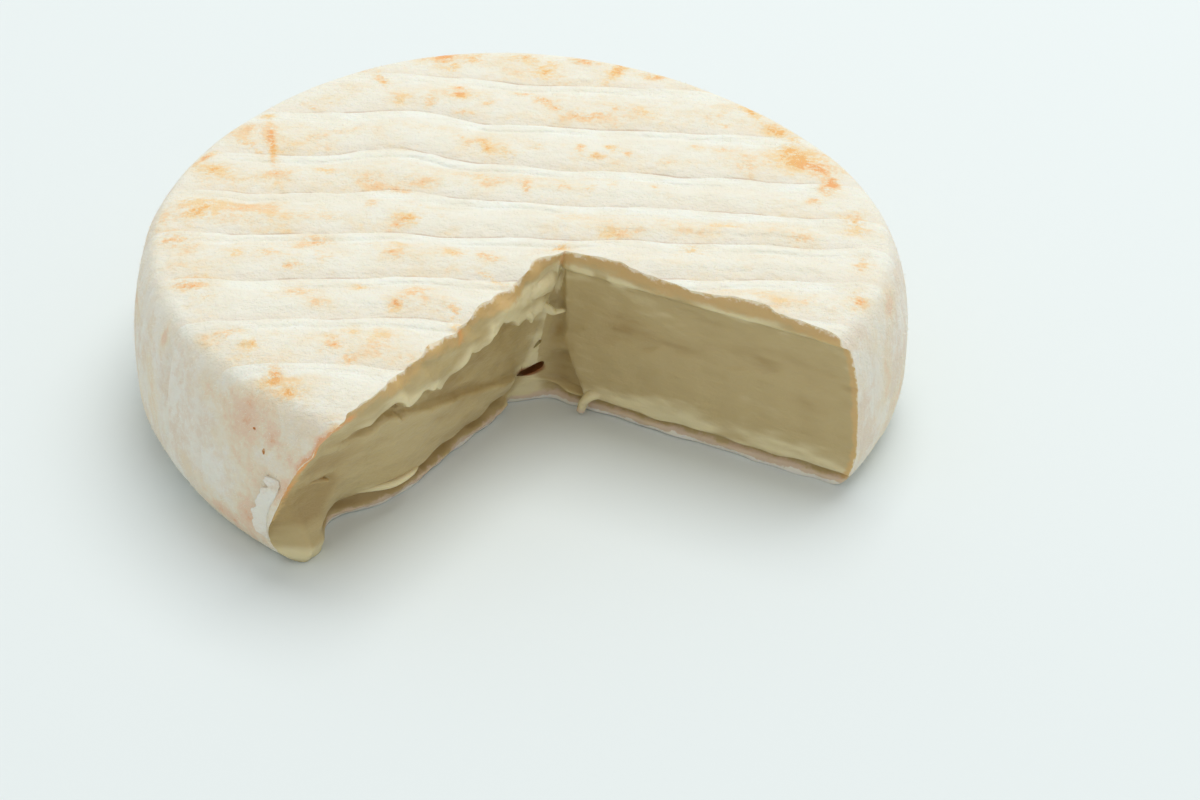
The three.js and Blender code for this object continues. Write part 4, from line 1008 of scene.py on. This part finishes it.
def fuzz_shape(mesh):
    """Spikes at seeded random places, spread evenly over the rind. A place is a random mean of a face's
    corners, and a spike leans off the face's normal by a random amount."""
    random = np.random.default_rng(81)
    mesh.calc_loop_triangles()
    corners = read_each(mesh.loop_triangles, "vertices", 3).astype(int)
    normals = read_each(mesh.loop_triangles, "normal", 3)
    face_corners = points_of(mesh).T[corners]
    on_rind = read_each(mesh.loop_triangles, "material_index", 1)[:, 0] == 0
    areas = read_each(mesh.loop_triangles, "area", 1)[:, 0]
    weights = areas * on_rind * (face_corners[..., 2].min(axis=1) > LOWEST_THREAD)
    chosen = random.choice(len(areas), THREADS, p=weights / weights.sum())
    shares = random.dirichlet((1, 1, 1), THREADS)
    root = (face_corners[chosen] * shares[..., None]).sum(axis=1) - SUNK * normals[chosen]
    direction = normals[chosen] + random.normal(0, THREAD_LEAN, (THREADS, 3))
    direction /= np.linalg.norm(direction, axis=1, keepdims=True)
    length = SHORTEST_THREAD + (LONGEST_THREAD - SHORTEST_THREAD) * random.random((THREADS, 1)) ** 2.5
    across = np.cross(direction, random.normal(0, 1, (THREADS, 3)))
    across /= np.linalg.norm(across, axis=1, keepdims=True)
    over = np.cross(direction, across)
    turns = np.radians((0, 120, 240))[:, None]
    ring = np.cos(turns) * across[:, None] + np.sin(turns) * over[:, None]
    base = root[:, None] + THREAD_RADIUS * ring
    points = np.concatenate((base, (root + direction * length)[:, None]), axis=1)
    spike = np.array(((0, 1, 3), (1, 2, 3), (2, 0, 3), (2, 1, 0)))
    triangles = spike + 4 * np.arange(THREADS)[:, None, None]
    return points.reshape(-1, 3), triangles.reshape(-1, 3)


fuzz_finish = bpy.data.materials.new("mould_threads")
fuzz_finish.use_nodes = True
tree = fuzz_finish.node_tree
bloom = rising(tree, cloud(tree, (8, 6, 8), 2, 0.5, 13), -0.1, 0.15)
tone = mixed(tree, bloom, colour(250, 248, 240), colour(243, 234, 216))
feed(tree.nodes["Principled BSDF"], {"Base Color": tone, "Roughness": 0.9})
fuzz = make_piece("bloom_fuzz", *fuzz_shape(cheese.data), (fuzz_finish,))
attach(fuzz, "root")
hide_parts("cheese")

# The floor and the light: a plain pale ground, a pale sky, and a wide soft light high above and a little
# behind, which faces the middle of the floor.
FLOOR_HALF, FLOOR_LEVEL = 2000, -0.05
LIGHT_PLACE, LIGHT_SIZE, LIGHT_POWER, SKY_STRENGTH = (0.3, 0.55, 1.6), 1.2, 16, 0.72
ground_finish = bpy.data.materials.new("pale_ground")
ground_finish.use_nodes = True
shader = ground_finish.node_tree.nodes["Principled BSDF"]
feed(shader, {"Base Color": colour(226, 233, 232), "Roughness": 0.9})
corners = [(x * FLOOR_HALF, y * FLOOR_HALF, FLOOR_LEVEL) for x, y in ((-1, -1), (1, -1), (1, 1), (-1, 1))]
floor = make_piece("floor", np.array(corners), np.array(((0, 1, 2), (0, 2, 3))), (ground_finish,))

world = bpy.data.worlds.new("studio")
world.use_nodes = True
feed(world.node_tree.nodes["Background"], {"Color": colour(243, 245, 246), "Strength": SKY_STRENGTH})
bpy.context.scene.world = world

lamp = bpy.data.lights.new("high_light", "AREA")
lamp.shape, lamp.size, lamp.energy = "SQUARE", LIGHT_SIZE, LIGHT_POWER
light = bpy.data.objects.new("high_light", lamp)
bpy.context.collection.objects.link(light)
turn = math.atan2(LIGHT_PLACE[0], -LIGHT_PLACE[1])
tilt = math.atan2(math.hypot(LIGHT_PLACE[0], LIGHT_PLACE[1]), LIGHT_PLACE[2])
light.matrix_world = (
    Matrix.Translation(LIGHT_PLACE) @ Matrix.Rotation(turn, 4, "Z") @ Matrix.Rotation(tilt, 4, "X")
)
bpy.context.scene.view_settings.view_transform = "Standard"
